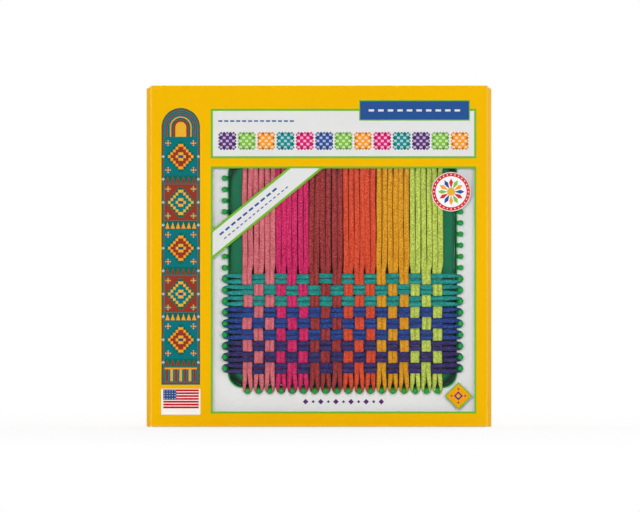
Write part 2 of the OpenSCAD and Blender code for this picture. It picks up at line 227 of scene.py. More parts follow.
class Value:
    """A socket of a node tree; arithmetic on it adds the nodes for it."""

    def __init__(self, tree, socket):
        self.tree, self.socket = tree, socket

    def __add__(self, other):
        return self.tree.math("ADD", self, other)

    def __sub__(self, other):
        return self.tree.math("SUBTRACT", self, other)

    def __rsub__(self, other):
        return self.tree.math("SUBTRACT", other, self)

    def __mul__(self, other):
        return self.tree.math("MULTIPLY", self, other)

    def __truediv__(self, other):
        return self.tree.math("DIVIDE", self, other)

    def __pow__(self, other):
        return self.tree.math("POWER", self, other)

    def __abs__(self):
        return self.tree.math("ABSOLUTE", self)


class Tree:
    """Short calls for building a node tree."""

    def __init__(self, tree):
        self.tree = tree

    def node(self, kind, inputs=None, **settings):
        node = self.tree.nodes.new(kind)
        for key, value in settings.items():
            setattr(node, key, value)
        for key, value in (inputs or {}).items():
            self.feed(node.inputs[key], value)
        return node

    def feed(self, socket, value):
        value = value.socket if isinstance(value, Value) else value
        if isinstance(value, bpy.types.NodeSocket):
            self.tree.links.new(value, socket)
        else:
            socket.default_value = value

    def math(self, operation, first, second=0.0, clamp=False):
        inputs = {0: first, 1: second}
        node = self.node("ShaderNodeMath", inputs, operation=operation, use_clamp=clamp)
        return Value(self, node.outputs[0])

    def most(self, first, second, clamp=False):
        return self.math("MAXIMUM", first, second, clamp)

    def least(self, first, second):
        return self.math("MINIMUM", first, second)

    def parts(self, vector):
        return [Value(self, s) for s in self.node("ShaderNodeSeparateXYZ", {0: vector}).outputs]

    def apart(self, vector, origin):
        return self.node("ShaderNodeVectorMath", {0: vector, 1: origin}, operation="SUBTRACT").outputs[0]

    def stretch(self, vector, scale):
        return self.node("ShaderNodeMapping", {"Vector": vector, "Scale": scale}).outputs[0]

    def mix(self, factor, first, second):
        inputs = {0: factor, 6: first, 7: second}
        return self.node("ShaderNodeMix", inputs, data_type="RGBA", blend_type="MIX").outputs[2]

    def noise(self, vector, scale, detail=3.0, roughness=0.55):
        inputs = {"Vector": vector, "Scale": scale, "Detail": detail, "Roughness": roughness}
        return Value(self, self.node("ShaderNodeTexNoise", inputs).outputs["Fac"])

    def spread(self, value, low, high, new_low=0.0, new_high=1.0):
        """value taken from low..high to new_low..new_high, and held there."""
        inputs = {0: value, 1: low, 2: high, 3: new_low, 4: new_high}
        return Value(self, self.node("ShaderNodeMapRange", inputs).outputs[0])


def effect(tree, name, build, inputs):
    """The outputs of a shader node group, which is built the first time that it is used."""
    group = bpy.data.node_groups.get(name)
    if group is None:
        group = bpy.data.node_groups.new(name, "ShaderNodeTree")
        for label, value in inputs.items():
            kind = "NodeSocketFloat" if isinstance(value, float) else "NodeSocketVector"
            group.interface.new_socket(label, in_out="INPUT", socket_type=kind)
        inner = Tree(group)
        given = {s.name: Value(inner, s) for s in inner.node("NodeGroupInput").outputs}
        results = build(inner, given)
        for label in results:
            group.interface.new_socket(label, in_out="OUTPUT", socket_type="NodeSocketFloat")
        inner.node("NodeGroupOutput", results)
    node = tree.node("ShaderNodeGroup", node_tree=group)
    for label, value in inputs.items():
        tree.feed(node.inputs[label], value)
    return {s.name: Value(tree, s) for s in node.outputs}


def build_fibre(tree, given):
    """Paper: fine fibres, a slow mottle and a shallow tooth."""
    fine = tree.noise(given["Vector"], given["Fibre"], 4.0, 0.6)
    slow = tree.noise(given["Vector"], given["Mottle"], 2.0)
    return {"Tone": tree.spread(fine * 0.6 + slow * 0.4, 0.3, 0.7), "Height": fine}


def fibre(tree, vector, fine, slow):
    return effect(tree, "paper fibre", build_fibre, {"Vector": vector, "Fibre": fine, "Mottle": slow})


def build_fold_wear(tree, given):
    """Worn print along the carton's folds and rims, broken up by noise, and a thin line on each fold for
    cracked ink and a painted highlight.
    """
    x, y, z = tree.parts(given["Vector"])
    across = abs(abs(x) - given["Half Width"])
    deep = abs(abs(y) - given["Half Depth"])
    rim = tree.least(abs(z - given["Height"]), abs(z))
    fold = tree.most(across, deep)
    corner = tree.most(fold, rim * 0.35)
    edge = tree.least(fold, tree.most(rim, deep))
    near = tree.spread(edge, 0.0, given["Reach"], 1.0, 0.0)
    worn = tree.spread(corner, 0.0, given["Reach"] * 2.4, 1.0, 0.0)
    grain = tree.noise(given["Vector"], 420.0, 4.0, 0.7)
    light = tree.spread(near * grain, 0.36, 0.62)
    heavy = tree.spread(worn * grain, 0.24, 0.4)
    # A thin line on each fold: cracked ink and a painted highlight.
    crease_highlight = tree.spread(fold, 0.0, given["Crease"], 1.0, 0.0)
    return {"Mask": tree.most(light * 0.45, heavy, True), "Crease": crease_highlight}


def fold_wear(tree, vector):
    return effect(tree, "fold wear", build_fold_wear, {
        "Vector": vector, "Half Width": FOLD_X, "Half Depth": BACK_HIGH.y,
        "Height": FRONT_HIGH.z, "Reach": 0.45 * MM, "Crease": 0.7 * MM,
    })


def build_knit(tree, given):
    """A knitted tube: columns of V stitches along the strand, with flecks and fuzz, and a mask of its sides
    for painted shade.
    """
    along, around, _ = tree.parts(given["UV"])
    flecks = tree.noise(given["Vector"], 1040.0, 2.0, 0.6)
    fuzz = tree.noise(given["Vector"], 2200.0, 2.0, 0.7)
    columns = around * given["Columns"]
    side = abs(tree.math("FRACT", columns) - 0.5) * 2.0
    slant = along * given["Rows"] + side * 0.8 + tree.math("FLOOR", columns) * 0.37 + flecks
    ridge = tree.math("SINE", slant * (2 * math.pi)) * 0.5 + 0.5
    stitch = ridge * (1.0 - side ** 4.0)
    speckle = tree.spread(flecks, 0.43, 0.57)
    streak = tree.spread(tree.noise(tree.stretch(given["UV"], (24.0, 9.0, 1.0)), 1.0, 2.0), 0.35, 0.65)
    # Painted shade: the sides of the strand, where neighbouring strands meet, go dark.
    flank_shade = abs(tree.math("COSINE", around * (2 * math.pi))) ** 12.0
    tone = stitch * 0.25 + speckle * 0.5 + streak * 0.25
    return {"Tone": tone, "Height": stitch * 0.7 + fuzz * 0.5, "Flank": flank_shade}


def build_inside_wall(tree, given):
    """How far a place lies inside the loom's outer wall, as a share of Reach."""
    x, _, z = tree.parts(tree.apart(given["Vector"], given["Middle"]))
    flat = given["Half"] - given["Corner"]
    right, up = abs(x) - flat, abs(z) - flat
    out_right, out_up = tree.most(right, 0.0), tree.most(up, 0.0)
    side = tree.least(tree.most(right, up), 0.0)
    past = tree.math("SQRT", out_right * out_right + out_up * out_up) + side - given["Corner"]
    return {"Share": tree.spread(past * -1.0 / given["Reach"], 0.0, 1.0)}


def inside_wall(tree, vector, half, reach, corner=11.0 * MM):
    return effect(tree, "inside the wall", build_inside_wall, {
        "Vector": vector, "Middle": tuple(LOOM_MIDDLE), "Half": half, "Corner": corner, "Reach": reach,
    })["Share"]


def build_under_loops(tree, given):
    """Where loops lie overhead, for the painted shadow under them: between the outermost columns, and as far
    up as the weft reaches.
    """
    x, _, z = tree.parts(tree.apart(given["Vector"], given["Middle"]))
    reach, soft = given["Reach"], given["Soft"]
    inside = tree.math("DIVIDE", reach - abs(x), soft, True)
    below = tree.math("DIVIDE", given["Top"] - z, soft, True)
    above = tree.math("DIVIDE", reach + z, soft, True)
    return {"Share": tree.most(inside, below * above)}


def under_loops(tree, vector):
    past_peg = (peg_place(1) - peg_place(0)) / 2 - 0.3 * MM
    return effect(tree, "under the loops", build_under_loops, {
        "Vector": vector, "Middle": tuple(LOOM_MIDDLE), "Reach": past_peg - peg_place(0),
        "Top": peg_place(WEFTS - 1) + past_peg, "Soft": 1.5 * MM,
    })["Share"]


def new_material(name):
    """A material with only its output and surface shader, its tree and that shader."""
    material = bpy.data.materials.new(name)
    material.use_nodes = True
    material.node_tree.nodes.clear()
    tree = Tree(material.node_tree)
    shader = tree.node("ShaderNodeBsdfPrincipled")
    output = tree.node("ShaderNodeOutputMaterial")
    tree.feed(output.inputs["Surface"], shader.outputs["BSDF"])
    return material, tree, shader


def coordinates(tree, kind="Object"):
    return tree.node("ShaderNodeTexCoord").outputs[kind]


def coat(tree, shader, ink, roughness, height, depth, strength, specular=None):
    """Feeds a surface shader with its colour, roughness, relief and, where given, specular level."""
    relief = tree.node("ShaderNodeBump", {"Strength": strength, "Distance": depth, "Height": height})
    tree.feed(shader.inputs["Base Color"], ink)
    tree.feed(shader.inputs["Roughness"], roughness)
    tree.feed(shader.inputs["Normal"], relief.outputs["Normal"])
    if specular is not None:
        shader.inputs["Specular IOR Level"].default_value = specular


def shade(rgb, factor):
    return (*(min(1.0, value * factor) for value in rgb), 1.0)


def lighter(rgb, share):
    """rgb moved some way towards white."""
    return (*(value + (1 - value) * share for value in rgb), 1.0)


def once(name, build, *values):
    """The material of that name, built the first time it is asked for."""
    if name in bpy.data.materials:
        return bpy.data.materials[name]
    material, tree, shader = new_material(name)
    build(tree, shader, *values)
    return material


def printed_board(tree, shader, rgb, core):
    """Varnished print on board, worn through to the core along folds, with a lighter line on each fold for
    cracked ink and a painted highlight.
    """
    place = coordinates(tree)
    paper, worn = fibre(tree, place, 700.0, 18.0), fold_wear(tree, place)
    ink = tree.mix(paper["Tone"], shade(rgb, 0.965), shade(rgb, 1.03))
    # Cracked ink and a painted highlight: a lighter line on each fold.
    ink = tree.mix(worn["Crease"] * 0.5, ink, lighter(rgb, 0.5))
    ink = tree.mix(worn["Mask"], ink, shade(core, 1.0))
    rough = tree.spread(paper["Tone"], 0.0, 1.0, 0.52, 0.62)
    coat(tree, shader, ink, rough, paper["Height"], 0.02 * MM, 0.5, 0.02)


def plain_board(tree, shader, rgb, dark=None, half=0.0):
    """Bare board or card: fibres, flecks and, where dark is given, painted shade in that colour inside the
    loom's opening, under the loops.
    """
    place = coordinates(tree)
    paper = fibre(tree, place, 520.0, 30.0)
    flecks = tree.spread(tree.noise(place, 1100.0, 2.0), 0.68, 0.76)
    ink = tree.mix(paper["Tone"], shade(rgb, 0.94), shade(rgb, 1.03))
    ink = tree.mix(flecks * 0.3, ink, shade(rgb, 0.6))
    # Painted shade: near black on the card's front inside the loom's opening, where the loops lie above it.
    if dark is not None:
        start, end = CARD_LOW.y + 0.1 * MM, CARD_LOW.y + 0.3 * MM
        front = tree.spread(tree.parts(place)[1], start, end, 1.0, 0.0)
        ink = tree.mix(inside_wall(tree, place, half, 0.4 * MM, 4.0 * MM) * front, ink, shade(dark, 1.0))
    rough = tree.spread(paper["Tone"], 0.0, 1.0, 0.75, 0.88)
    coat(tree, shader, ink, rough, paper["Height"], 0.04 * MM, 0.6, 0.2)


def cut_board(tree, shader, rgb):
    """Cut edge of the board: thin layers seen side on."""
    layers = tree.noise(tree.stretch(coordinates(tree), (120.0, 2600.0, 120.0)), 1.0, 3.0, 0.6)
    ink = tree.mix(layers, shade(rgb, 0.78), shade(rgb, 1.05))
    coat(tree, shader, ink, tree.spread(layers, 0.0, 1.0, 0.8, 0.95), layers, 0.05 * MM, 0.7)


def printed_paper(tree, shader, rgb):
    """Ink on coated label paper."""
    paper = fibre(tree, coordinates(tree), 1300.0, 40.0)
    ink = tree.mix(paper["Tone"], shade(rgb, 0.95), shade(rgb, 1.04))
    rough = tree.spread(paper["Tone"], 0.0, 1.0, 0.48, 0.58)
    coat(tree, shader, ink, rough, paper["Height"], 0.01 * MM, 0.4, 0.02)


def cotton(tree, shader, rgb):
    """Knitted cotton tube with a soft fuzz, dark along its sides as painted shade."""
    stitches = effect(tree, "cotton knit", build_knit, {
        "Vector": coordinates(tree), "UV": coordinates(tree, "UV"), "Rows": 230.0, "Columns": 6.0,
    })
    ink = tree.mix(stitches["Tone"], shade(rgb, 0.6), lighter(shade(rgb, 1.66)[:3], 0.045))
    # Painted shade along the strand's sides.
    ink = tree.mix(stitches["Flank"] * 0.95, ink, shade(rgb, 0.14))
    rough = tree.spread(stitches["Tone"], 0.0, 1.0, 0.95, 0.8)
    coat(tree, shader, ink, rough, stitches["Height"], 0.35 * MM, 0.9, 0.03)
    shader.inputs["Sheen Weight"].default_value = 0.03
    shader.inputs["Sheen Roughness"].default_value = 0.5


def enamel(tree, shader, peg_rgb, shaded_channel_rgb, half):
    """Glossy green enamel, darker in the channel behind the wall as painted shade, near black at the wall's
    foot and, as painted shadow, under the loops.
    """
    place = coordinates(tree)
    wall_top, fade_end = CARD_LOW.y - 4.9 * MM, CARD_LOW.y - 3.9 * MM
    channel = tree.spread(tree.parts(place)[1], wall_top, fade_end)
    behind = inside_wall(tree, place, half - 0.4 * MM, 1.0 * MM)
    wall_foot_shade = inside_wall(tree, place, half - 1.2 * MM, 3.2 * MM, 19.0 * MM)
    flow, peel = tree.noise(place, 160.0, 2.0), tree.noise(place, 700.0, 2.0)
    peg = tree.mix(flow, shade(peg_rgb, 0.93), shade(peg_rgb, 1.05))
    # Painted shade: the channel takes a darker green than the pegs, with a little random flow.
    channel_shade = tree.mix(flow, shade(shaded_channel_rgb, 0.9), shade(shaded_channel_rgb, 1.12))
    # Painted shade: near black towards the foot of the wall.
    channel_shade = tree.mix(wall_foot_shade, shade(shaded_channel_rgb, 0.12), channel_shade)
    # Painted shadow: near black where loops lie overhead.
    channel_shade = tree.mix(under_loops(tree, place), channel_shade, shade(shaded_channel_rgb, 0.08))
    rough = tree.spread(flow, 0.3, 0.7, 0.03, 0.05)
    coat(tree, shader, tree.mix(channel * behind, peg, channel_shade), rough, peel, 0.006 * MM, 0.15, 0.12)


def clear_film(tree, shader):
    """Thin clear film with a faint ripple and the odd scuff."""
    place = coordinates(tree)
    ripple = tree.noise(place, 22.0, 1.0)
    marks = tree.spread(tree.noise(tree.stretch(place, (60.0, 60.0, 900.0)), 1.0), 0.68, 0.8)
    slant = tree.node("ShaderNodeLayerWeight", {"Blend": 0.3}).outputs["Facing"]
    rough = tree.spread(marks, 0.0, 1.0, 0.05, 0.3)
    coat(tree, shader, (0.03, 0.035, 0.04, 1.0), rough, ripple, 0.6 * MM, 0.5)
    tree.feed(shader.inputs["Alpha"], tree.spread(slant, 0.15, 1.0, 0.02, 0.4) + marks * 0.02)


def bright_wire(tree, shader, rgb):
    """Drawn steel wire with fine lines along it."""
    lines = tree.noise(tree.stretch(coordinates(tree), (1.0, 1.0, 0.04)), 3000.0)
    ink = tree.mix(lines, shade(rgb, 0.85), shade(rgb, 1.08))
    coat(tree, shader, ink, tree.spread(lines, 0.2, 0.8, 0.22, 0.38), lines, 0.02 * MM, 0.4)
    shader.inputs["Metallic"].default_value = 1.0


def bag_film(tree, shader):
    """Crinkled polythene."""
    creases = tree.noise(coordinates(tree), 90.0, 4.0, 0.7)
    sheer = tree.spread(creases, 0.3, 0.7, 0.12, 0.3)
    coat(tree, shader, (0.9, 0.93, 0.95, 1.0), sheer, creases, 2.0 * MM, 0.8)
    tree.feed(shader.inputs["Alpha"], sheer)


# Shapes


def settings():
    return bpy.context.scene


def placed(name, data):
    """A new object in the scene for that data."""
    piece = bpy.data.objects.new(name, data)
    bpy.context.collection.objects.link(piece)
    return piece


def new_piece(name, mesh, materials, smooth=False):
    """A scene object with its place in its mesh, from a bmesh that is then freed."""
    data = bpy.data.meshes.new(name)
    mesh.to_mesh(data)
    mesh.free()
    for material in materials:
        data.materials.append(material)
    if smooth:
        data.shade_smooth()
    return placed(name, data)


def dress(piece, body, nodes):
    """piece rides on body and stands for nodes, whose CAD parts are hidden."""
    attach(piece, body)
    if nodes:
        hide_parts(*nodes)


def repaint(nodes, material):
    """CAD nodes whose shape is right get a fuller material."""
    for name in nodes:
        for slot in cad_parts[name].material_slots:
            slot.material = material


def block(low, high):
    """A bmesh box from corner to corner."""
    mesh = bmesh.new()
    bmesh.ops.create_cube(mesh, size=1.0)
    bmesh.ops.scale(mesh, vec=high - low, verts=mesh.verts)
    bmesh.ops.translate(mesh, vec=(low + high) / 2, verts=mesh.verts)
    return mesh


def round_edges(mesh, edges, radius, segments, affect="EDGES"):
    bmesh.ops.bevel(
        mesh, geom=edges, offset=radius, offset_type="OFFSET", segments=segments,
        profile=0.5, affect=affect, material=-1,
    )


def cut(mesh, faces, place, normal):
    """Splits faces along a plane."""
    geom = list({*faces, *(e for f in faces for e in f.edges), *(v for f in faces for v in f.verts)})
    bmesh.ops.bisect_plane(mesh, geom=geom, dist=1e-7, plane_co=place, plane_no=normal)


def moved_verts(drawn):
    return [part for part in drawn["geom"] if isinstance(part, bmesh.types.BMVert)]


def thicken(mesh, faces, way):
    """Draws flat faces out into a closed slab, and returns the vertices that moved."""
    moved = moved_verts(bmesh.ops.extrude_face_region(mesh, geom=faces))
    bmesh.ops.translate(mesh, vec=way, verts=moved)
    return moved


def turn_out(mesh):
    bmesh.ops.recalc_face_normals(mesh, faces=mesh.faces)


def board_piece(name, mesh, body, nodes):
    """A piece of carton board with its print, its plain side and its cut edge."""
    carton = settings().loom_carton
    piece = new_piece(name, mesh, [
        once("yellow_board", printed_board, carton.yellow, carton.core),
        once("board_inside", plain_board, carton.inside),
        once("board_cut_edge", cut_board, carton.core),
    ])
    dress(piece, body, nodes)
    return piece


def mark_board(mesh, outward):
    """Print on the faces that look outward, plain board on the far side and cut edges between."""
    least_print, most_plain = 0.35, -0.9
    for face in mesh.faces:
        facing = face.normal.dot(outward)
        face.material_index = 0 if facing > least_print else 1 if facing < most_plain else 2


def window_edges():
    """Left, right, lower and upper edge of the window, from the film's margins."""
    low, high = corners("window_film")
    margin = 6.0 * MM
    return low.x + margin, high.x - margin, low.z + margin, high.z - margin


def banner_lines():
    """A point on each long edge of the banner, and the directions across it and along it."""
    low, high = corners("corner_banner")
    left, _, _, head = window_edges()
    lower = Vector((left, 0, low.z))
    along = (Vector((high.x, 0, head)) - lower).normalized()
    across = Vector((-along.z, 0, along.x))
    width = 16.6 * MM
    return lower, lower + across * width, across, along


def bow(y):
    """How far a side wall stands outside its folds at y."""
    middle, half = (FRONT_LOW.y + BACK_HIGH.y) / 2, (BACK_HIGH.y - FRONT_LOW.y) / 2
    past_cad = 0.8 * MM
    return (WALL_HIGH.x - FOLD_X + past_cad) * (1 - ((y - middle) / half) ** 2)


class LOOMKIT_OT_sleeve(bpy.types.Operator):
    """Folded front, back and side walls with the cut window"""

    bl_idname = "loomkit.sleeve"
    bl_label = "Carton sleeve"

    def execute(self, context):
        carton = settings().loom_carton
        radius = carton.fold_radius
        low = Vector((-FOLD_X, FRONT_LOW.y, 0))
        high = Vector((FOLD_X, BACK_HIGH.y, FRONT_HIGH.z))
        mesh = block(low, high)
        ends = [f for f in mesh.faces if abs(f.normal.z) > 0.9]
        bmesh.ops.delete(mesh, geom=ends, context="FACES_ONLY")
        upright = [e for e in mesh.edges if abs(e.verts[0].co.z - e.verts[1].co.z) > high.z / 2]
        round_edges(mesh, upright, radius, 4)
        self.cut_window(mesh)
        self.bow_walls(mesh, low, high, radius)
        self.step_rims(mesh, low, high, radius)
        walls = ["front_panel", "back_panel", "left_wall", "right_wall"]
        wall = board_piece("carton_sleeve", mesh, ROOT, walls).modifiers.new("board", "SOLIDIFY")
        wall.thickness = BOARD
        wall.offset = -1.0
        wall.use_even_offset = True
        wall.material_offset = 1
        wall.material_offset_rim = 2
        return {"FINISHED"}

    def cut_window(self, mesh):
        left, right, sill, head = window_edges()
        lower, upper, across, _ = banner_lines()

        def front():
            return [f for f in mesh.faces if f.normal.y < -0.99]

        def inside():
            places = [(f, f.calc_center_median()) for f in front()]
            return [f for f, place in places if left < place.x < right and sill < place.z < head]

        for x in (left, right):
            cut(mesh, front(), (x, 0, 0), (1, 0, 0))
        for z in (sill, head):
            cut(mesh, front(), (0, 0, z), UP)
        for place in (lower, upper):
            cut(mesh, inside(), place, across)
        width = (upper - lower).dot(across)
        open_faces = [f for f in inside() if not 0 < (f.calc_center_median() - lower).dot(across) < width]
        bmesh.ops.delete(mesh, geom=open_faces, context="FACES")

    def bow_walls(self, mesh, low, high, radius):
        middle, half = (low.y + high.y) / 2, (high.y - low.y) / 2
        for step in range(-6, 7):
            sides = [f for f in mesh.faces if abs(f.normal.x) > 0.99]
            cut(mesh, sides, (0, middle + step * half / 7.5, 0), (0, 1, 0))
        for vert in mesh.verts:
            if abs(vert.co.x) > FOLD_X - radius * 0.5:
                vert.co.x += math.copysign(bow(vert.co.y), vert.co.x)

    def step_rims(self, mesh, low, high, radius):
        """The lid's fold lies over the back's rim, and the side walls stop below the dust flaps."""
        for vert in mesh.verts:
            at_front = vert.co.y < low.y + radius * 0.9
            at_back = vert.co.y > high.y - radius * 0.9
            if vert.co.z > high.z - MM:
                vert.co.z = high.z if at_front else BACK_HIGH.z if at_back else WALL_HIGH.z
            elif vert.co.z < MM and at_front:
                vert.co.z = BOARD * 0.9


class LOOMKIT_OT_flaps(bpy.types.Operator):
    """Bottom flaps, lid, tuck flap and dust flaps"""

    bl_idname = "loomkit.flaps"
    bl_label = "Carton flaps"

    def execute(self, context):
        down = -UP
        self.make_plate("bottom_outer", "bottom_outer_flap", down, front_fold=True)
        self.make_plate("bottom_inner", "bottom_inner_flap", down)
        for side in ("left", "right"):
            self.make_plate(f"bottom_{side}_dust", f"bottom_{side}_dust_flap", down)
        self.make_plate("seam_flap", "glue_flap", Vector((0, 1, 0)))
        self.make_lid()
        self.make_tuck()
        self.make_dust(1, "top_right_dust_flap", "right_dust")
        self.make_dust(-1, "top_left_dust_flap", "left_dust")
        return {"FINISHED"}

    def round_fold(self, mesh, folds):
        round_edges(mesh, folds, BOARD * 0.85, 5)

    def make_plate(self, name, node, outward, front_fold=False):
        low, high = corners(node)
        if front_fold:
            low.y = FRONT_LOW.y
        mesh = block(low, high)
        if front_fold:
            self.round_fold(mesh, [
                e for e in mesh.edges
                if all(v.co.y < low.y + NEAR and v.co.z < low.z + NEAR for v in e.verts)
            ])
        mark_board(mesh, outward)
        board_piece(name, mesh, ROOT, [node])

    def make_lid(self):
        low, high = corners("top_lid")
        mesh = block(low, high)
        self.round_fold(mesh, [
            e for e in mesh.edges
            if all(v.co.z > high.z - NEAR for v in e.verts)
            and abs(e.verts[0].co.x - e.verts[1].co.x) > FOLD_X
        ])
        mark_board(mesh, UP)
        for face in mesh.faces:
            if abs(face.normal.y) > 0.3 and face.normal.z > -0.1:
                face.material_index = 0
        board_piece("lid", mesh, "lid", ["top_lid"])

    def make_tuck(self):
        """The flap lies in a plane that leans in from the lid's front edge."""
        low, high = corners("top_tuck_flap")
        long, lean, radius = 18.0 * MM, math.radians(14.0), 9.0 * MM
        pivot = Vector((0, low.y + BOARD * math.cos(lean), corners("top_lid")[0].z))
        mesh = bmesh.new()
        bmesh.ops.create_grid(mesh, x_segments=1, y_segments=1, size=1.0)
        bmesh.ops.scale(mesh, vec=(high.x, long / 2, 1), verts=mesh.verts)
        bmesh.ops.translate(mesh, vec=(0, long / 2, 0), verts=mesh.verts)
        tips = [v for v in mesh.verts if v.co.y > long / 2]
        round_edges(mesh, tips, radius, 8, "VERTICES")
        thicken(mesh, list(mesh.faces), (0, 0, -BOARD))
        turn_out(mesh)
        turn = Matrix.Translation(pivot) @ Matrix.Rotation(lean - math.pi / 2, 4, "X")
        bmesh.ops.transform(mesh, matrix=turn, verts=mesh.verts)
        mark_board(mesh, turn.to_3x3() @ -UP)
        board_piece("tuck_flap", mesh, "tuck", ["top_tuck_flap"])

    def make_dust(self, side, node, body):
        """A tapered flap whose root edge follows the bowed wall."""
        low, high = corners(node)
        root, tip = (high.x, low.x) if side > 0 else (low.x, high.x)
        back, front = high.y, low.y
        taper = 6.0 * MM
        slope = 0.75 * abs(root - tip)
        outline = [
            (root, back), (tip, back - slope), (tip, front + taper),
            (root + (tip - root) * taper / 2 / abs(root - tip), front), (root, front),
        ]
        steps, clear = 24, 2 * BOARD + 0.35 * MM
        for step in range(1, steps):
            y = front + (back - front) * step / steps
            outline.append((root + side * max(0.0, 1.2 * (bow(y) - clear)), y))
        mesh = bmesh.new()
        face = mesh.faces.new([mesh.verts.new((x, y, low.z)) for x, y in outline])
        thicken(mesh, [face], UP * BOARD)
        turn_out(mesh)
        mark_board(mesh, UP)
        board_piece(f"{body}_flap", mesh, body, [node])


# Prints


def ring(x, z, radius, count):
    """Places evenly round a circle, from its right."""
    turns = [2 * math.pi * i / count for i in range(count)]
    return [(x + radius * math.cos(a), z + radius * math.sin(a)) for a in turns]


class Print:
    """Flat inks on one upright plane: thin closed slips, where a higher layer covers a lower one."""

    def __init__(self, y, base=0.0):
        self.mesh = bmesh.new()
        self.materials = []
        self.y = y
        self.base = base

    def ink(self, key):
        """The material slot for the ink of that name, or for its tint where the name ends in _tint."""
        base = key.removesuffix("_tint")
        rgb = getattr(settings().loom_labels, base, None) or getattr(settings().loom_carton, base)
        if key != base:
            rgb = lighter(rgb, TINT)[:3]
        material = once(f"ink_{key}", printed_paper, rgb)
        if material not in self.materials:
            self.materials.append(material)
        return self.materials.index(material)

    def patch(self, points, key, layer):
        face = self.mesh.faces.new([self.mesh.verts.new((x, self.y, z)) for x, z in points])
        lifted = thicken(self.mesh, [face], (0, -(self.base + INK * layer), 0))
        slot = self.ink(key)
        for vert in lifted:
            for near in vert.link_faces:
                near.material_index = slot
        face.material_index = slot

    def bar(self, left, low, right, high, key, layer):
        self.patch([(left, low), (right, low), (right, high), (left, high)], key, layer)

    def framed(self, left, low, right, high, line, key):
        """A lime border round a field of that ink."""
        self.bar(left, low, right, high, "lime", 0)
        self.bar(left + line, low + line, right - line, high - line, key, 1)

    def disc(self, x, z, radius, key, layer, sides=64):
        self.patch(ring(x, z, radius, sides), key, layer)

    def diamond(self, x, z, radius, key, layer):
        self.disc(x, z, radius, key, layer, sides=4)

    def finish(self, name, nodes, slot):
        turn_out(self.mesh)
        dress(new_piece(name, self.mesh, self.materials), ROOT, nodes)


def label(node):
    """A print that starts on the back of a label's CAD node, with that node's edges."""
    low, high = corners(node)
    return Print(high.y, high.y - low.y), low.x, low.z, high.x, high.z


def round_label(node):
    """The same, with the label's middle and radius."""
    sheet, left, low, right, high = label(node)
    return sheet, (left + right) / 2, (low + high) / 2, (right - left) / 2


def swatch(sheet, x, z, size, key, layer):
    """A small woven square with a loop at the end of each strip."""
    strips = 5
    edge = size * 0.07
    cell = (size - 2 * edge) / strips
    sheet.bar(x + edge, z + edge, x + size - edge, z + size - edge, key, layer)
    for i in range(strips):
        along = edge + (i + 0.5) * cell
        for across in (edge, size - edge):
            sheet.disc(x + along, z + across, cell * 0.4, key, layer, 10)
            sheet.disc(x + across, z + along, cell * 0.4, key, layer, 10)
        for row in range(strips):
            if (i + row) % 2 == 0:
                left, low = x + edge + i * cell, z + edge + row * cell
                wide, tall = cell * 0.06, cell * 0.14
                right, high = left + cell - wide, low + cell - tall
                sheet.bar(left + wide, low + tall, right, high, key + "_tint", layer + 1)


def stitches(sheet, start, step, count, size, key="ink_blue"):
    """A row of running stitches: short bars along step."""
    along = step.normalized()
    rise = Vector((-along.y, along.x)) * size * 0.38
    half = along * size
    for i in range(count):
        middle = start + step * i
        points = [middle - half - rise, middle + half - rise, middle + half + rise, middle - half + rise]
        sheet.patch([tuple(p) for p in points], key, 2)


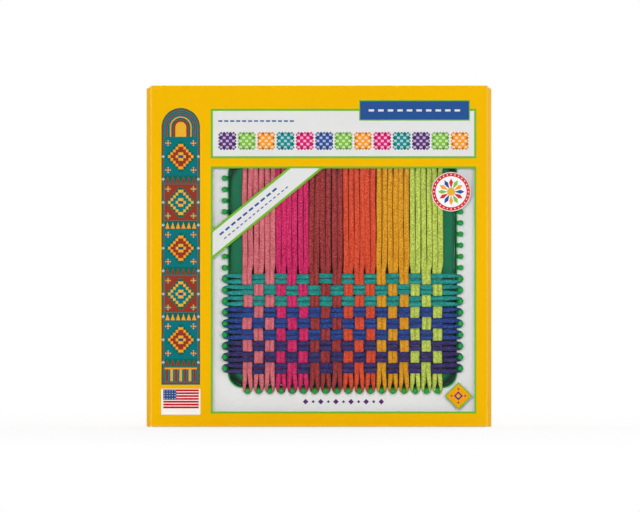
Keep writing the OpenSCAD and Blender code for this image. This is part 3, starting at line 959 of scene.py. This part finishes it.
class LOOMKIT_OT_labels(bpy.types.Operator):
    """Title label, name plate, banner, flag label, seal, diamond and border prints"""

    bl_idname = "loomkit.labels"
    bl_label = "Labels"

    def execute(self, context):
        for make in (self.window_border, self.banner, self.title, self.name_plate,
                     self.flag, self.seal, self.diamond, self.caption):
            make()
        return {"FINISHED"}

    def window_border(self):
        left, right, sill, head = window_edges()
        width = settings().loom_carton.border
        sheet = Print(FRONT_LOW.y)
        sheet.bar(left - width, sill - width, right + width, sill, "lime", 1)
        sheet.bar(left - width, head, right + width, head + width, "lime", 1)
        sheet.bar(left - width, sill, left, head, "lime", 1)
        sheet.bar(right, sill, right + width, head, "lime", 1)
        sheet.finish("window_border", [], "carton_board")

    def banner(self):
        left, _, _, head = window_edges()
        lower, upper, _, along = banner_lines()
        sheet = label("corner_banner")[0]
        line = settings().loom_labels.line / (upper - lower).length

        def strip(start, end):
            """The part of the banner from start to end of its width, cut off at the window's edges."""
            points = []
            for share in (start, end):
                place = lower + (upper - lower) * share
                points.append((left, place.z + (left - place.x) * along.z / along.x))
                points.append((place.x + (head - place.z) * along.x / along.z, head))
            return [points[0], points[1], points[3], points[2]]

        sheet.patch(strip(0.0, 1.0), "lime", 0)
        sheet.patch(strip(line, 1.0 - line), "ground", 1)
        first = 17.0 * MM
        for share, pitch, count, size in ((0.62, 5.6, 10, 1.9), (0.36, 3.9, 16, 1.1)):
            start = lower + (upper - lower) * share + along * first
            stitches(sheet, start.xz, along.xz * pitch * MM, count, size * MM)
        sheet.finish("banner", ["corner_banner"], "banner_paper")

    def title(self):
        sheet, left, low, right, high = label("title_label")
        sheet.framed(left, low, right, high, settings().loom_labels.line, "ground")
        keys = ["purple", "green", "orange", "teal", "magenta", "ink_blue", "green",
                "orange", "magenta", "teal", "purple", "green", "orange"]
        size, margin = 13.4 * MM, 5.6 * MM
        pitch = (right - left - 2 * margin - size) / (len(keys) - 1)
        for i, key in enumerate(keys):
            swatch(sheet, left + margin + i * pitch, low + 6.2 * MM, size, key, 2)
        start = Vector((left + margin + 1.5 * MM, low + 27.6 * MM))
        stitches(sheet, start, Vector((4.4 * MM, 0)), 13, 1.5 * MM)
        sheet.finish("title", ["title_label"], "title_paper")

    def name_plate(self):
        sheet, left, low, right, high = label("name_plate_label")
        sheet.base += 0.05 * MM
        sheet.framed(left, low, right, high, 0.7 * MM, "name_blue")
        start = Vector((left + 9 * MM, (low + high) / 2))
        stitches(sheet, start, Vector((7.05 * MM, 0)), 10, 2.0 * MM, "ground")
        sheet.finish("name_plate", ["name_plate_label"], "name_plate_paper")

    def flag(self):
        sheet, left, low, right, high = label("flag_label")
        sheet.bar(left, low, right, high, "white", 0)
        left, right, high = left + 1.5 * MM, right - 1.2 * MM, high - 0.6 * MM
        stripes = 13
        stripe = 13.6 * MM / stripes
        for i in range(0, stripes, 2):
            sheet.bar(left, high - (i + 1.25) * stripe, right, high - (i - 0.15) * stripe, "flag_red", 1)
        wide, tall = 9.7 * MM, 7 * stripe
        sheet.bar(left, high - tall, left + wide, high, "band_blue", 2)
        columns, rows = 5, 4
        for column in range(columns):
            for row in range(rows):
                x, z = left + wide * (column + 0.5) / columns, high - tall * (row + 0.5) / rows
                sheet.disc(x, z, 0.34 * MM, "white", 3, 5)
        sheet.finish("flag", ["flag_label"], "flag_paper")

    def seal(self):
        sheet, x, z, radius = round_label("round_seal")
        for layer, (share, key) in enumerate(((1.0, "white"), (0.965, "red"), (0.79, "white"))):
            sheet.disc(x, z, radius * share, key, layer)
        for place in ring(x, z, radius * 0.88, 28):
            sheet.disc(*place, 0.5 * MM, "white", 2, 6)
        keys = ["ink_blue", "orange", "green", "red"]
        petals = 12
        for i in range(petals):
            turn = 2 * math.pi * i / petals
            self.petal(sheet, x, z, turn, radius * 0.16, radius * 0.68, keys[i % 4])
        sheet.disc(x, z, radius * 0.2, "corn", 4, 24)
        sheet.finish("seal", ["round_seal"], "seal_paper")

    def petal(self, sheet, x, z, turn, near, far, key):
        start, along = Vector((x, z)), Vector((math.cos(turn), math.sin(turn)))
        across = Vector((-along.y, along.x)) * (far - near) * 0.2
        middle = start + along * (near + (far - near) * 0.62)
        points = [start + along * near, middle + across, start + along * far, middle - across]
        sheet.patch([tuple(p) for p in points], key, 3)

    def diamond(self):
        sheet, x, z, radius = round_label("diamond_sticker")
        sizes = ((radius, "lime"), (radius - 1.2 * MM, "gold"), (3.4 * MM, "purple"), (1.8 * MM, "gold"))
        for layer, (size, key) in enumerate(sizes):
            sheet.diamond(x, z, size, key, layer)
        for place in ring(x, z, 5.0 * MM, 4):
            sheet.diamond(*place, 0.9 * MM, "purple", 2)
        sheet.finish("diamond", ["diamond_sticker"], "diamond_paper")

    def caption(self):
        """A short row of marks on the insert, under the loom."""
        left, right, sill, _ = window_edges()
        sheet = Print(CARD_LOW.y)
        count = 11
        for i in range(count):
            x = (left + right) / 2 + (i - count // 2) * 5.6 * MM
            sheet.diamond(x, sill + 7.0 * MM, (2.1 if i % 2 == 0 else 1.2) * MM, "purple", 1)
        sheet.finish("insert_marks", [], "insert_card")


class LOOMKIT_OT_pattern_band(bpy.types.Operator):
    """Pattern band with stepped lozenges, zigzags and a plain striped arch"""

    bl_idname = "loomkit.pattern_band"
    bl_label = "Pattern band"

    def execute(self, context):
        sheet, left, low, right, high = label("pattern_band_label")
        radius = (right - left) / 2
        spring = high - radius
        middle = (left + right) / 2
        for layer, (inset, key) in enumerate(((0.0, "deep_green"), (1.1, "brick"), (1.7, "band_teal"))):
            self.arch(sheet, middle, low + inset * MM, spring, radius - inset * MM, key, layer)
        rings = ((3.4, "brick"), (4.5, "band_teal"), (6.3, "orange"),
                 (7.2, "deep_green"), (8.6, "brick"), (10.2, "corn"))
        for layer, (inset, key) in enumerate(rings, start=3):
            self.arch(sheet, middle, spring - 7 * MM, spring, radius - inset * MM, key, layer)
        field = radius - 2.4 * MM
        start, end = low + 13.4 * MM, spring - 7.6 * MM
        units = 5
        tall = (end - start) / units
        for i in range(units):
            self.unit(sheet, middle, start + i * tall, field, tall, i % 2)
            for across in (-1, 1):
                for share in (0.09, 0.585):
                    x, z = middle + across * (radius - 1.25 * MM), start + (i + share) * tall
                    sheet.diamond(x, z, 1.25 * MM, "ink_blue_tint", 4)
        self.fringe(sheet, middle, low + 2.6 * MM, field)
        sheet.finish("pattern_band", ["pattern_band_label"], "pattern_paper")
        return {"FINISHED"}

    def arch(self, sheet, middle, foot, spring, reach, key, layer):
        """A round-topped panel."""
        steps = 24
        turns = [math.pi * i / steps for i in range(steps + 1)]
        points = [(middle + reach * math.cos(a), spring + reach * math.sin(a)) for a in turns]
        sheet.patch([*points, (middle - reach, foot), (middle + reach, foot)], key, layer)

    def unit(self, sheet, middle, low, half, tall, odd):
        """A zigzag stripe under a stepped lozenge, in one of two colourings."""
        gap = 0.6 * MM
        stripe = tall * 0.17
        sheet.bar(middle - half, low, middle + half, low + stripe, "deep_green", 3)
        teeth = 6
        wide = 2 * half / teeth
        for i in range(teeth):
            x, foot = middle - half + wide * (i + 0.5), low + 0.4 * MM
            tooth = [(x - wide * 0.4, foot), (x + wide * 0.4, foot), (x, low + stripe * 0.9)]
            sheet.patch(tooth, ("brick", "orange")[odd], 4)
        floor, top = low + stripe + gap, low + tall - gap
        centre = (floor + top) / 2
        sheet.bar(middle - half, floor, middle + half, top, ("band_teal", "brick")[odd], 3)
        rings = [("deep_green", 6), (("orange", "corn")[odd], 5), (("brick", "band_teal")[odd], 4),
                 ("corn", 2), ("band_blue", 1)]
        for layer, (key, steps) in enumerate(rings, start=4):
            self.lozenge(sheet, middle, centre, half * 0.95 / 6, (top - floor) / 13, steps, key, layer)
        for across in (-1, 1):
            for up in (-1, 1):
                x, z = middle + across * half * 0.79, centre + up * (top - floor) * 0.37
                sheet.diamond(x, z, 2.3 * MM, ("brick", "band_teal")[odd], 4)
                sheet.diamond(x, z, 1.1 * MM, "corn", 5)
                for place in ring(x, z, 1.7 * MM, 4):
                    sheet.diamond(*place, 0.6 * MM, ("ink_blue_tint", "orange")[odd], 5)

    def lozenge(self, sheet, x, z, step, rise, steps, key, layer):
        """A diamond with stepped sides, as one outline."""
        right = []
        for i in range(steps):
            reach = (steps - i) * step
            right += [(reach, max(0.0, (i - 0.5) * rise)), (reach, (i + 0.5) * rise)]
        upper = right + [(-a, b) for a, b in reversed(right)]
        lower = [(-a, -b) for a, b in right[1:]] + [(a, -b) for a, b in reversed(right[1:])]
        sheet.patch([(x + a, z + b) for a, b in upper + lower], key, layer)

    def fringe(self, sheet, middle, low, half):
        count, top, hem = 7, low + 8.8 * MM, 1.2 * MM
        for i in range(count):
            x = middle + (i - (count - 1) / 2) * 2 * half / count
            wide = half / count * 0.55
            sheet.bar(x - wide, low, x + wide, top, ("brick", "corn")[i % 2], 3)
        sheet.bar(middle - half, top, middle + half, top + hem, "orange", 3)


# Loom and loops


def on_card(u, across):
    """Stands a shape drawn flat on the card: u to the right of the loom's middle, across up from it."""
    return Matrix.Translation((LOOM_MIDDLE.x + u, CARD_LOW.y, LOOM_MIDDLE.z + across)) @ FACE_FRONT


def peg_place(index):
    """Distance of a peg from the middle of its side."""
    return FIRST_PEG * (1 - 2 * index / (PEGS - 1))


class LOOMKIT_OT_loom(bpy.types.Operator):
    """Pressed and enamelled loom with its pegs"""

    bl_idname = "loomkit.loom"
    bl_label = "Loom"

    def execute(self, context):
        loom = settings().loom_metal
        mesh = bmesh.new()
        reach = loom.knob_reach + loom.knob_radius - loom.metal / 2
        half = (LOOM_HIGH.x - LOOM_LOW.x) / 2 - reach + loom.spread
        self.pressed_ring(mesh, half, loom)
        for side in range(4):
            turn = Matrix.Rotation(side * math.pi / 2, 4, "Z")
            for index in range(PEGS):
                self.peg(mesh, turn, half - loom.metal / 2, peg_place(index), loom)
        bmesh.ops.transform(mesh, matrix=on_card(0, 0), verts=mesh.verts)
        turn_out(mesh)
        material = once("green_enamel_coat", enamel, loom.peg_green, loom.channel_green, half)
        dress(new_piece("loom", mesh, [material], smooth=True), ROOT, ["loom_frame"])
        return {"FINISHED"}

    def pressed_ring(self, mesh, half, loom):
        """A rounded square drawn out ring by ring through the pressed section, back to where it starts."""
        metal, flange, lip = loom.metal / MM, loom.flange / MM, 2.4
        top = loom.wall / MM
        section = [
            (0.0, 0.6), (0.0, top - 0.35), (0.35, top), (metal - 0.3, top), (metal, top - 0.35),
            (metal, 2.2), (metal + 0.3, 1.35), (metal + 0.9, 1.04), (metal + 1.3, 1.0), (metal + 1.7, 1.0),
            (flange - 2.9, 1.0), (flange - 2.5, 1.0), (flange - 1.8, 1.1), (flange - 1.3, 1.4),
            (flange - metal, lip - 0.3), (flange - metal * 0.7, lip), (flange - metal * 0.3, lip),
            (flange, lip - 0.3), (flange, 0.4), (flange - 0.4, 0.0), (0.6, 0.0),
        ]
        loop = [mesh.verts.new(place) for place in self.rounded_square(half, *section[0])]
        edges = [mesh.edges.new((loop[i - 1], loop[i])) for i in range(len(loop))]
        for inset, height in [*section[1:], section[0]]:
            fresh = set(moved_verts(bmesh.ops.extrude_edge_only(mesh, edges=edges)))
            loop = [next(e.other_vert(v) for e in v.link_edges if e.other_vert(v) in fresh) for v in loop]
            edges = [mesh.edges.get((loop[i - 1], loop[i])) for i in range(len(loop))]
            for vert, place in zip(loop, self.rounded_square(half, inset, height)):
                vert.co = place
        bmesh.ops.remove_doubles(mesh, verts=mesh.verts, dist=0.001 * MM)

    def rounded_square(self, half, inset, height):
        """Places round a square that lies inset millimetres inside the wall."""
        steps = 8
        reach = half - inset * MM
        radius = max(4.0 * MM, (11.0 - inset) * MM)
        places = []
        for corner in range(4):
            turn = corner * math.pi / 2
            centre = Matrix.Rotation(turn, 2) @ Vector((reach - radius, reach - radius))
            for step in range(steps + 1):
                angle = turn + step * math.pi / 2 / steps
                place = centre + Vector((math.cos(angle), math.sin(angle))) * radius
                places.append((place.x, place.y, height * MM))
        return places

    def peg(self, mesh, turn, wall_middle, across, loom):
        """A flat neck that leans out of the wall and ends in a round knob."""
        foot = Vector((wall_middle, across, loom.wall - 0.9 * MM))
        knob = Vector((wall_middle + loom.knob_reach, across, LOOM_HIGH.y - LOOM_LOW.y - loom.knob_radius))
        neck = knob - foot
        tilt = Matrix.Rotation(math.atan2(neck.x, neck.z), 4, "Y")
        flat = Matrix.Diagonal((0.62, 1.0, 1.0, 1.0))
        place = turn @ Matrix.Translation(foot.lerp(knob, 0.5)) @ tilt @ flat
        bmesh.ops.create_cone(
            mesh, cap_ends=True, segments=12, radius1=loom.neck_foot, radius2=loom.neck_waist,
            depth=neck.length, matrix=place,
        )
        head = turn @ Matrix.Translation(knob) @ tilt
        bmesh.ops.create_uvsphere(mesh, u_segments=16, v_segments=10, radius=loom.knob_radius, matrix=head)


def eased(value):
    """0 to 1 with no kink at either end."""
    value = min(1.0, max(0.0, value))
    return value * value * (3 - 2 * value)


class Strand:
    """The route of one loop, drawn in its own plane: x along it, y across and z off the card."""

    def __init__(self, levels, seed, kind):
        loops = settings().loom_loops
        self.loops = loops
        self.woven = getattr(loops, kind + "_half_width")
        self.turn = getattr(loops, kind + "_turn")
        self.press = getattr(loops, kind + "_press")
        self.climb = loops.weft_climb if kind == "weft" else 0.0
        self.levels = levels
        self.seed = seed
        self.pitch = peg_place(1) - peg_place(0)
        self.first = peg_place(0)
        low, high = corners("warp_loop_01")
        self.middle = CARD_LOW.y - (low.y + high.y) / 2
        self.end = (high.z - low.z) / 2 - 0.8 * MM - self.turn + settings().loom_metal.spread
        self.gap = (0.03 + 0.1 * noise.noise(Vector((seed * 1.7, 5.3, 0)))) * MM

    def level(self, x):
        """How far over or under the middle of the weave the loop runs at x, from -1 to 1."""
        place = (x - self.first) / self.pitch
        index = math.floor(place)
        before = self.levels[index] if 0 <= index < len(self.levels) else 0.0
        after = self.levels[index + 1] if 0 <= index + 1 < len(self.levels) else 0.0
        start, run = 0.32, 0.36
        return before + (after - before) * eased((place - index - start) / run)

    def wander(self, x, channel, size, wave=14 * MM):
        """Slow noise along the loop. Each channel wanders in its own way."""
        return noise.noise(Vector((x / wave, self.seed * 3.7, channel * 11.3))) * size

    def point(self, x, side):
        """Place, lean and half width of the strand on that side of the loop at x."""
        loops = self.loops
        level = self.level(x)
        last = self.first + self.pitch * (len(self.levels) - 0.5)
        free = eased((x - last) / self.pitch)
        draw_in, steady, hook = 15 * MM, 13 * MM, 5 * MM
        neck_width, neck_apart, squeeze = 1.66 * MM, 2.3 * MM, 0.34 * MM
        near_peg = min(1.0, max(0.0, (abs(x) - (self.end - draw_in)) / steady)) ** 1.3
        at_peg = eased((abs(x) - (self.end - hook)) / hook)
        width = self.woven + (loops.half_width - self.woven) * free
        apart = width + self.gap - self.press * (1 - free)
        width += (neck_width - width) * near_peg - squeeze * at_peg
        width += self.wander(x, 1 + side, 0.2 * MM)
        apart += (neck_apart - apart) * near_peg + (self.turn - neck_apart) * at_peg
        drift = self.wander(x, 5, (0.6 - 0.4 * free) * MM) + self.wander(x, 21, 0.8 * free * MM, 60 * MM)
        y = side * apart + drift * (1 - near_peg)
        y += self.wander(x, 8 + side, (0.22 - 0.08 * free) * MM) * (1 - near_peg)
        lift = (0.12 + 0.3 * free) * MM
        z = self.middle + level * loops.rise + self.wander(x, 12 + side, lift) * (1 - near_peg)
        z += self.climb * at_peg
        lean = self.wander(x, 16 + side, math.radians(20 - 8 * free)) * (1 - near_peg)
        lean += loops.lean * at_peg
        return (x, y, z), lean * side, width

    def stops(self):
        """Places along the strand: close together in the weave, wider apart outside it."""
        close, wide = 0.95 * MM, 2.2 * MM
        x = -self.end
        stops = [x]
        last = self.first + self.pitch * (len(self.levels) - 1) + self.pitch
        while x < self.end:
            x += close if self.first - 0.6 * self.pitch < x < last else wide
            stops.append(min(x, self.end))
        return stops

    def route(self):
        """The whole closed loop: up one side, round the far peg, back and round the near peg."""
        there = [self.point(x, -1) for x in self.stops()]
        back = [self.point(x, 1) for x in reversed(self.stops())]
        return there + self.bend(1) + back + self.bend(-1)

    def bend(self, end):
        """Half a turn round a peg."""
        points, steps, width = [], 8, 1.3 * MM
        for step in range(1, steps):
            angle = math.pi * step / steps
            x = end * (self.end + self.turn * math.sin(angle))
            y = -end * self.turn * math.cos(angle)
            lean = self.loops.lean * (1 - 2 * step / steps) * -end
            points.append(((x, y, self.middle + self.climb), lean, width))
        return points


def oval():
    """The flattened section of a strand, one metre in half width."""
    curve = bpy.data.curves.new("strand_section", "CURVE")
    curve.dimensions = "2D"
    spline = curve.splines.new("POLY")
    sides, flat = 14, 0.53
    spline.points.add(sides - 1)
    for i, point in enumerate(spline.points):
        angle = -2 * math.pi * i / sides
        point.co = (math.cos(angle), flat * math.sin(angle), 0, 1)
    spline.use_cyclic_u = True
    return bpy.data.objects.new("strand_section", curve)


def swept(name, route, section, place):
    """A mesh swept along a closed route of places, leans and half widths."""
    curve = bpy.data.curves.new(name, "CURVE")
    curve.dimensions = "3D"
    curve.twist_mode = "Z_UP"
    curve.bevel_mode = "OBJECT"
    curve.bevel_object = section
    spline = curve.splines.new("POLY")
    spline.points.add(len(route) - 1)
    for point, (co, lean, radius) in zip(spline.points, route):
        point.co = (*co, 1)
        point.tilt = lean
        point.radius = radius
    spline.use_cyclic_u = True
    drawn = placed(name + "_route", curve)
    graph = bpy.context.evaluated_depsgraph_get()
    mesh = bpy.data.meshes.new_from_object(drawn.evaluated_get(graph))
    bpy.data.objects.remove(drawn)
    bpy.data.curves.remove(curve)
    mesh.transform(place)
    mesh.shade_smooth()
    return placed(name, mesh)


def cotton_of(key):
    return once(f"cotton_{key}_knit", cotton, getattr(settings().loom_loops, key))


class LoopOperator:
    """What the warp and the weft share."""

    def weave(self, kind, index, levels, seed, place):
        key = self.colours[index // COLOUR_RUN]
        route = Strand(levels, seed, kind).route()
        piece = swept(f"{kind}_strands_{index + 1:02d}", route, self.section, place)
        piece.data.materials.clear()
        piece.data.materials.append(cotton_of(key))
        dress(piece, ROOT, [f"{kind}_loop_{index + 1:02d}"])


def over(column, row):
    """1 where the warp passes over the weft, -1 where it passes under. Both count from 0."""
    return 1.0 if (column + row) % 2 == 0 else -1.0


class LOOMKIT_OT_warp(bpy.types.Operator, LoopOperator):
    """Warp loops, three of each colour"""

    bl_idname = "loomkit.warp"
    bl_label = "Warp loops"
    colours = WARP_KEYS

    def execute(self, context):
        self.section = oval()
        upright = Matrix.Rotation(math.pi / 2, 4, "Z")
        for column in range(PEGS):
            levels = [over(column, row) for row in range(WEFTS)]
            self.weave("warp", column, levels, column, on_card(peg_place(column), 0) @ upright)
        return {"FINISHED"}


class LOOMKIT_OT_weft(bpy.types.Operator, LoopOperator):
    """Weft loops, three of each colour, woven through the lower half of the warp"""

    bl_idname = "loomkit.weft"
    bl_label = "Weft loops"
    colours = WEFT_KEYS

    def execute(self, context):
        self.section = oval()
        first_seed = 40
        for row in range(WEFTS):
            levels = [-over(column, row) for column in range(PEGS)]
            self.weave("weft", row, levels, first_seed + row, on_card(0, peg_place(row)))
        return {"FINISHED"}


class LOOMKIT_OT_kit(bpy.types.Operator):
    """Film, insert, weaving hook, leaflet and the bag of spare loops"""

    bl_idname = "loomkit.kit"
    bl_label = "Film, insert and kit"

    def execute(self, context):
        kit = settings().loom_kit
        repaint(["window_film"], once("film_clear", clear_film))
        card = once("insert_card_grey", plain_board, kit.card)
        repaint(["insert_left_leg", "insert_right_leg"], card)
        inside_flange = 3.0 * MM
        opening = (LOOM_HIGH.x - LOOM_LOW.x) / 2 - settings().loom_metal.flange - inside_flange
        # The insert's face takes painted shade behind the loops.
        face = once("insert_card_face", plain_board, kit.card, kit.field, opening)
        repaint(["insert_face", "insert_tabs"], face)
        repaint(["weaving_hook"], once("hook_steel", bright_wire, kit.steel))
        repaint(["leaflet"], once("leaflet_sheet", plain_board, kit.leaflet))
        self.bag()
        self.spare_loops()
        return {"FINISHED"}

    def spare_loops(self):
        """A loose heap of loops of every colour that fills the bag."""
        middle, size = middle_and_half("loop_bag")
        materials = [cotton_of(key) for key in (*WARP_KEYS, *WEFT_KEYS)]
        section = oval()
        chance = random.Random(7)
        heap = bmesh.new()
        steps, width = 56, 1.9 * MM
        for i in range(SPARE_LOOPS):
            long, wide = chance.uniform(46, 58) * MM, chance.uniform(7, 15) * MM
            across, up = chance.uniform(-0.3, 0.3) * size.x, chance.uniform(-0.22, 0.22) * size.z
            turn = Matrix.Rotation(chance.uniform(-0.45, 0.45) + (i % 2) * math.pi, 4, "Z")
            layer = (i / (SPARE_LOOPS - 1) - 0.5) * 2 * (size.y - 4.5 * MM)
            route = []
            for cos, sin in ring(0.0, 0.0, 1.0, steps):
                stray = noise.noise_vector(Vector((cos * 1.6, sin * 1.6, i * 2.3)))
                flat = 1 - 0.75 * (abs(across + long * cos) / size.x) ** 2
                x, y = long * cos + stray.x * 7 * MM, wide * sin + stray.y * 7 * MM
                route.append(((x, y, layer * flat + stray.z * MM), stray.z, width))
            place = Matrix.Translation(middle + Vector((across, 0, up))) @ FACE_FRONT @ turn
            loop = swept(f"spare_{i}", route, section, place)
            for polygon in loop.data.polygons:
                polygon.material_index = i % len(materials)
            heap.from_mesh(loop.data)
            bpy.data.objects.remove(loop)
        dress(new_piece("spare_loops", heap, materials, smooth=True), ROOT, [])

    def bag(self):
        """A pillow of crinkled film, two sheets joined round their edges."""
        middle, size = middle_and_half("loop_bag")
        mesh = bmesh.new()
        bmesh.ops.create_grid(mesh, x_segments=34, y_segments=30, size=1.0)
        sheet = [*mesh.verts, *mesh.edges, *mesh.faces]
        copies = set(moved_verts(bmesh.ops.duplicate(mesh, geom=sheet)))
        for vert in mesh.verts:
            x, z = vert.co.x, vert.co.y
            side = 1 if vert in copies else -1
            crown = (1 - x ** 4) ** 0.5 * (1 - z ** 4) ** 0.5
            crinkle = 1 + 0.12 * noise.noise(Vector((x * 5, z * 5, side * 3.1)))
            edge = 1 - 0.012 * abs(noise.noise(Vector((x * 9, z * 9, 1.7))))
            depth = side * crown * crinkle * size.y * 0.86
            vert.co = middle + Vector((x * size.x * edge, depth, z * size.z * edge))
        bmesh.ops.remove_doubles(mesh, verts=mesh.verts, dist=0.05 * MM)
        turn_out(mesh)
        piece = new_piece("spare_loop_bag", mesh, [once("bag_polythene", bag_film)], smooth=True)
        dress(piece, ROOT, ["loop_bag"])


def seen(tree):
    """1 for rays that a viewer sees, 0 for those that only carry light."""
    rays = tree.node("ShaderNodeLightPath").outputs
    return tree.most(rays["Is Camera Ray"], tree.most(rays["Is Glossy Ray"], rays["Is Transmission Ray"]))


class LOOMKIT_OT_stage(bpy.types.Operator):
    """Pale floor, soft light and the photograph's camera"""

    bl_idname = "loomkit.stage"
    bl_label = "Stage"

    def execute(self, context):
        self.camera()
        self.floor()
        self.world()
        for lamp in LAMPS:
            self.lamp(*lamp)
        context.scene.view_settings.view_transform = "Standard"
        return {"FINISHED"}

    def camera(self):
        """Looks along +Y at the middle of the photograph's frame."""
        stage = settings().loom_stage
        photo_width, photo_height = 640, 512
        carton_middle, carton_foot = 319, 427
        data = bpy.data.cameras.new("camera")
        data.lens = stage.lens
        data.sensor_width = 36.0
        away = photo_width * stage.pixel * data.lens / data.sensor_width
        x = (photo_width / 2 - carton_middle) * stage.pixel
        z = (carton_foot - photo_height / 2) * stage.pixel
        camera = placed("camera", data)
        camera.location = (x, FRONT_LOW.y - away, z)
        camera.rotation_euler = (math.pi / 2, 0, 0)
        bpy.context.scene.camera = camera

    def floor(self):
        mesh = bmesh.new()
        half_floor, under_carton = 12.0, 0.05 * MM
        bmesh.ops.create_grid(mesh, x_segments=1, y_segments=1, size=half_floor)
        bmesh.ops.translate(mesh, vec=UP * -under_carton, verts=mesh.verts)
        material, tree, shader = new_material("pale_floor")
        rgb = settings().loom_stage.floor
        grain = tree.noise(coordinates(tree), 60.0, 2.0)
        tree.feed(shader.inputs["Base Color"], tree.mix(grain, shade(rgb, 0.99), shade(rgb, 1.01)))
        shader.inputs["Roughness"].default_value = 0.9
        shader.inputs["Specular IOR Level"].default_value = 0.1
        glow = tree.node("ShaderNodeEmission", {"Color": WHITE, "Strength": 1.0})
        away = tree.node("ShaderNodeVectorMath", {0: coordinates(tree)}, operation="LENGTH").outputs["Value"]
        share = seen(tree) * tree.spread(away, 0.1, 0.6, 0.8, 1.0)
        both = tree.node("ShaderNodeMixShader", {0: share, 1: shader.outputs[0], 2: glow.outputs[0]})
        output = next(n for n in material.node_tree.nodes if n.type == "OUTPUT_MATERIAL")
        tree.feed(output.inputs["Surface"], both.outputs[0])
        new_piece("floor", mesh, [material])

    def world(self):
        world = bpy.data.worlds.new("studio")
        world.use_nodes = True
        world.node_tree.nodes.clear()
        tree = Tree(world.node_tree)
        strength = tree.spread(seen(tree), 0.0, 1.0, 0.2, 1.0)
        light = tree.node("ShaderNodeBackground", {"Color": WHITE, "Strength": strength})
        tree.node("ShaderNodeOutputWorld", {"Surface": light.outputs[0]})
        bpy.context.scene.world = world

    def lamp(self, name, place, size, power):
        data = bpy.data.lights.new(name, "AREA")
        data.size = size
        data.energy = power
        lamp = placed(name, data)
        lamp.location = place
        aim = Vector((0, 0, FRONT_HIGH.z / 2)) - Vector(place)
        lamp.rotation_euler = aim.to_track_quat("-Z", "Y").to_euler()


class LOOMKIT_PT_panel(bpy.types.Panel):
    """Lists the pieces of the loom kit"""

    bl_idname = "LOOMKIT_PT_panel"
    bl_label = "Loom Kit"
    bl_space_type = "VIEW_3D"
    bl_region_type = "UI"
    bl_category = "Loom Kit"

    def draw(self, context):
        for operator in OPERATORS:
            self.layout.operator(operator.bl_idname)


GROUPS = {
    "loom_carton": CartonProperties,
    "loom_labels": LabelProperties,
    "loom_metal": LoomProperties,
    "loom_loops": LoopProperties,
    "loom_kit": KitProperties,
    "loom_stage": StageProperties,
}
OPERATORS = (
    LOOMKIT_OT_stage,
    LOOMKIT_OT_sleeve,
    LOOMKIT_OT_flaps,
    LOOMKIT_OT_labels,
    LOOMKIT_OT_pattern_band,
    LOOMKIT_OT_loom,
    LOOMKIT_OT_warp,
    LOOMKIT_OT_weft,
    LOOMKIT_OT_kit,
)


def register():
    for name, group in GROUPS.items():
        bpy.utils.register_class(group)
        setattr(bpy.types.Scene, name, PointerProperty(type=group))
    for operator in OPERATORS:
        bpy.utils.register_class(operator)
    bpy.utils.register_class(LOOMKIT_PT_panel)


def unregister():
    bpy.utils.unregister_class(LOOMKIT_PT_panel)
    for operator in reversed(OPERATORS):
        bpy.utils.unregister_class(operator)
    for name, group in reversed(GROUPS.items()):
        delattr(bpy.types.Scene, name)
        bpy.utils.unregister_class(group)


def main():
    register()
    for operator in OPERATORS:
        group, name = operator.bl_idname.split(".")
        getattr(getattr(bpy.ops, group), name)()


if __name__ == "__main__":
    main()
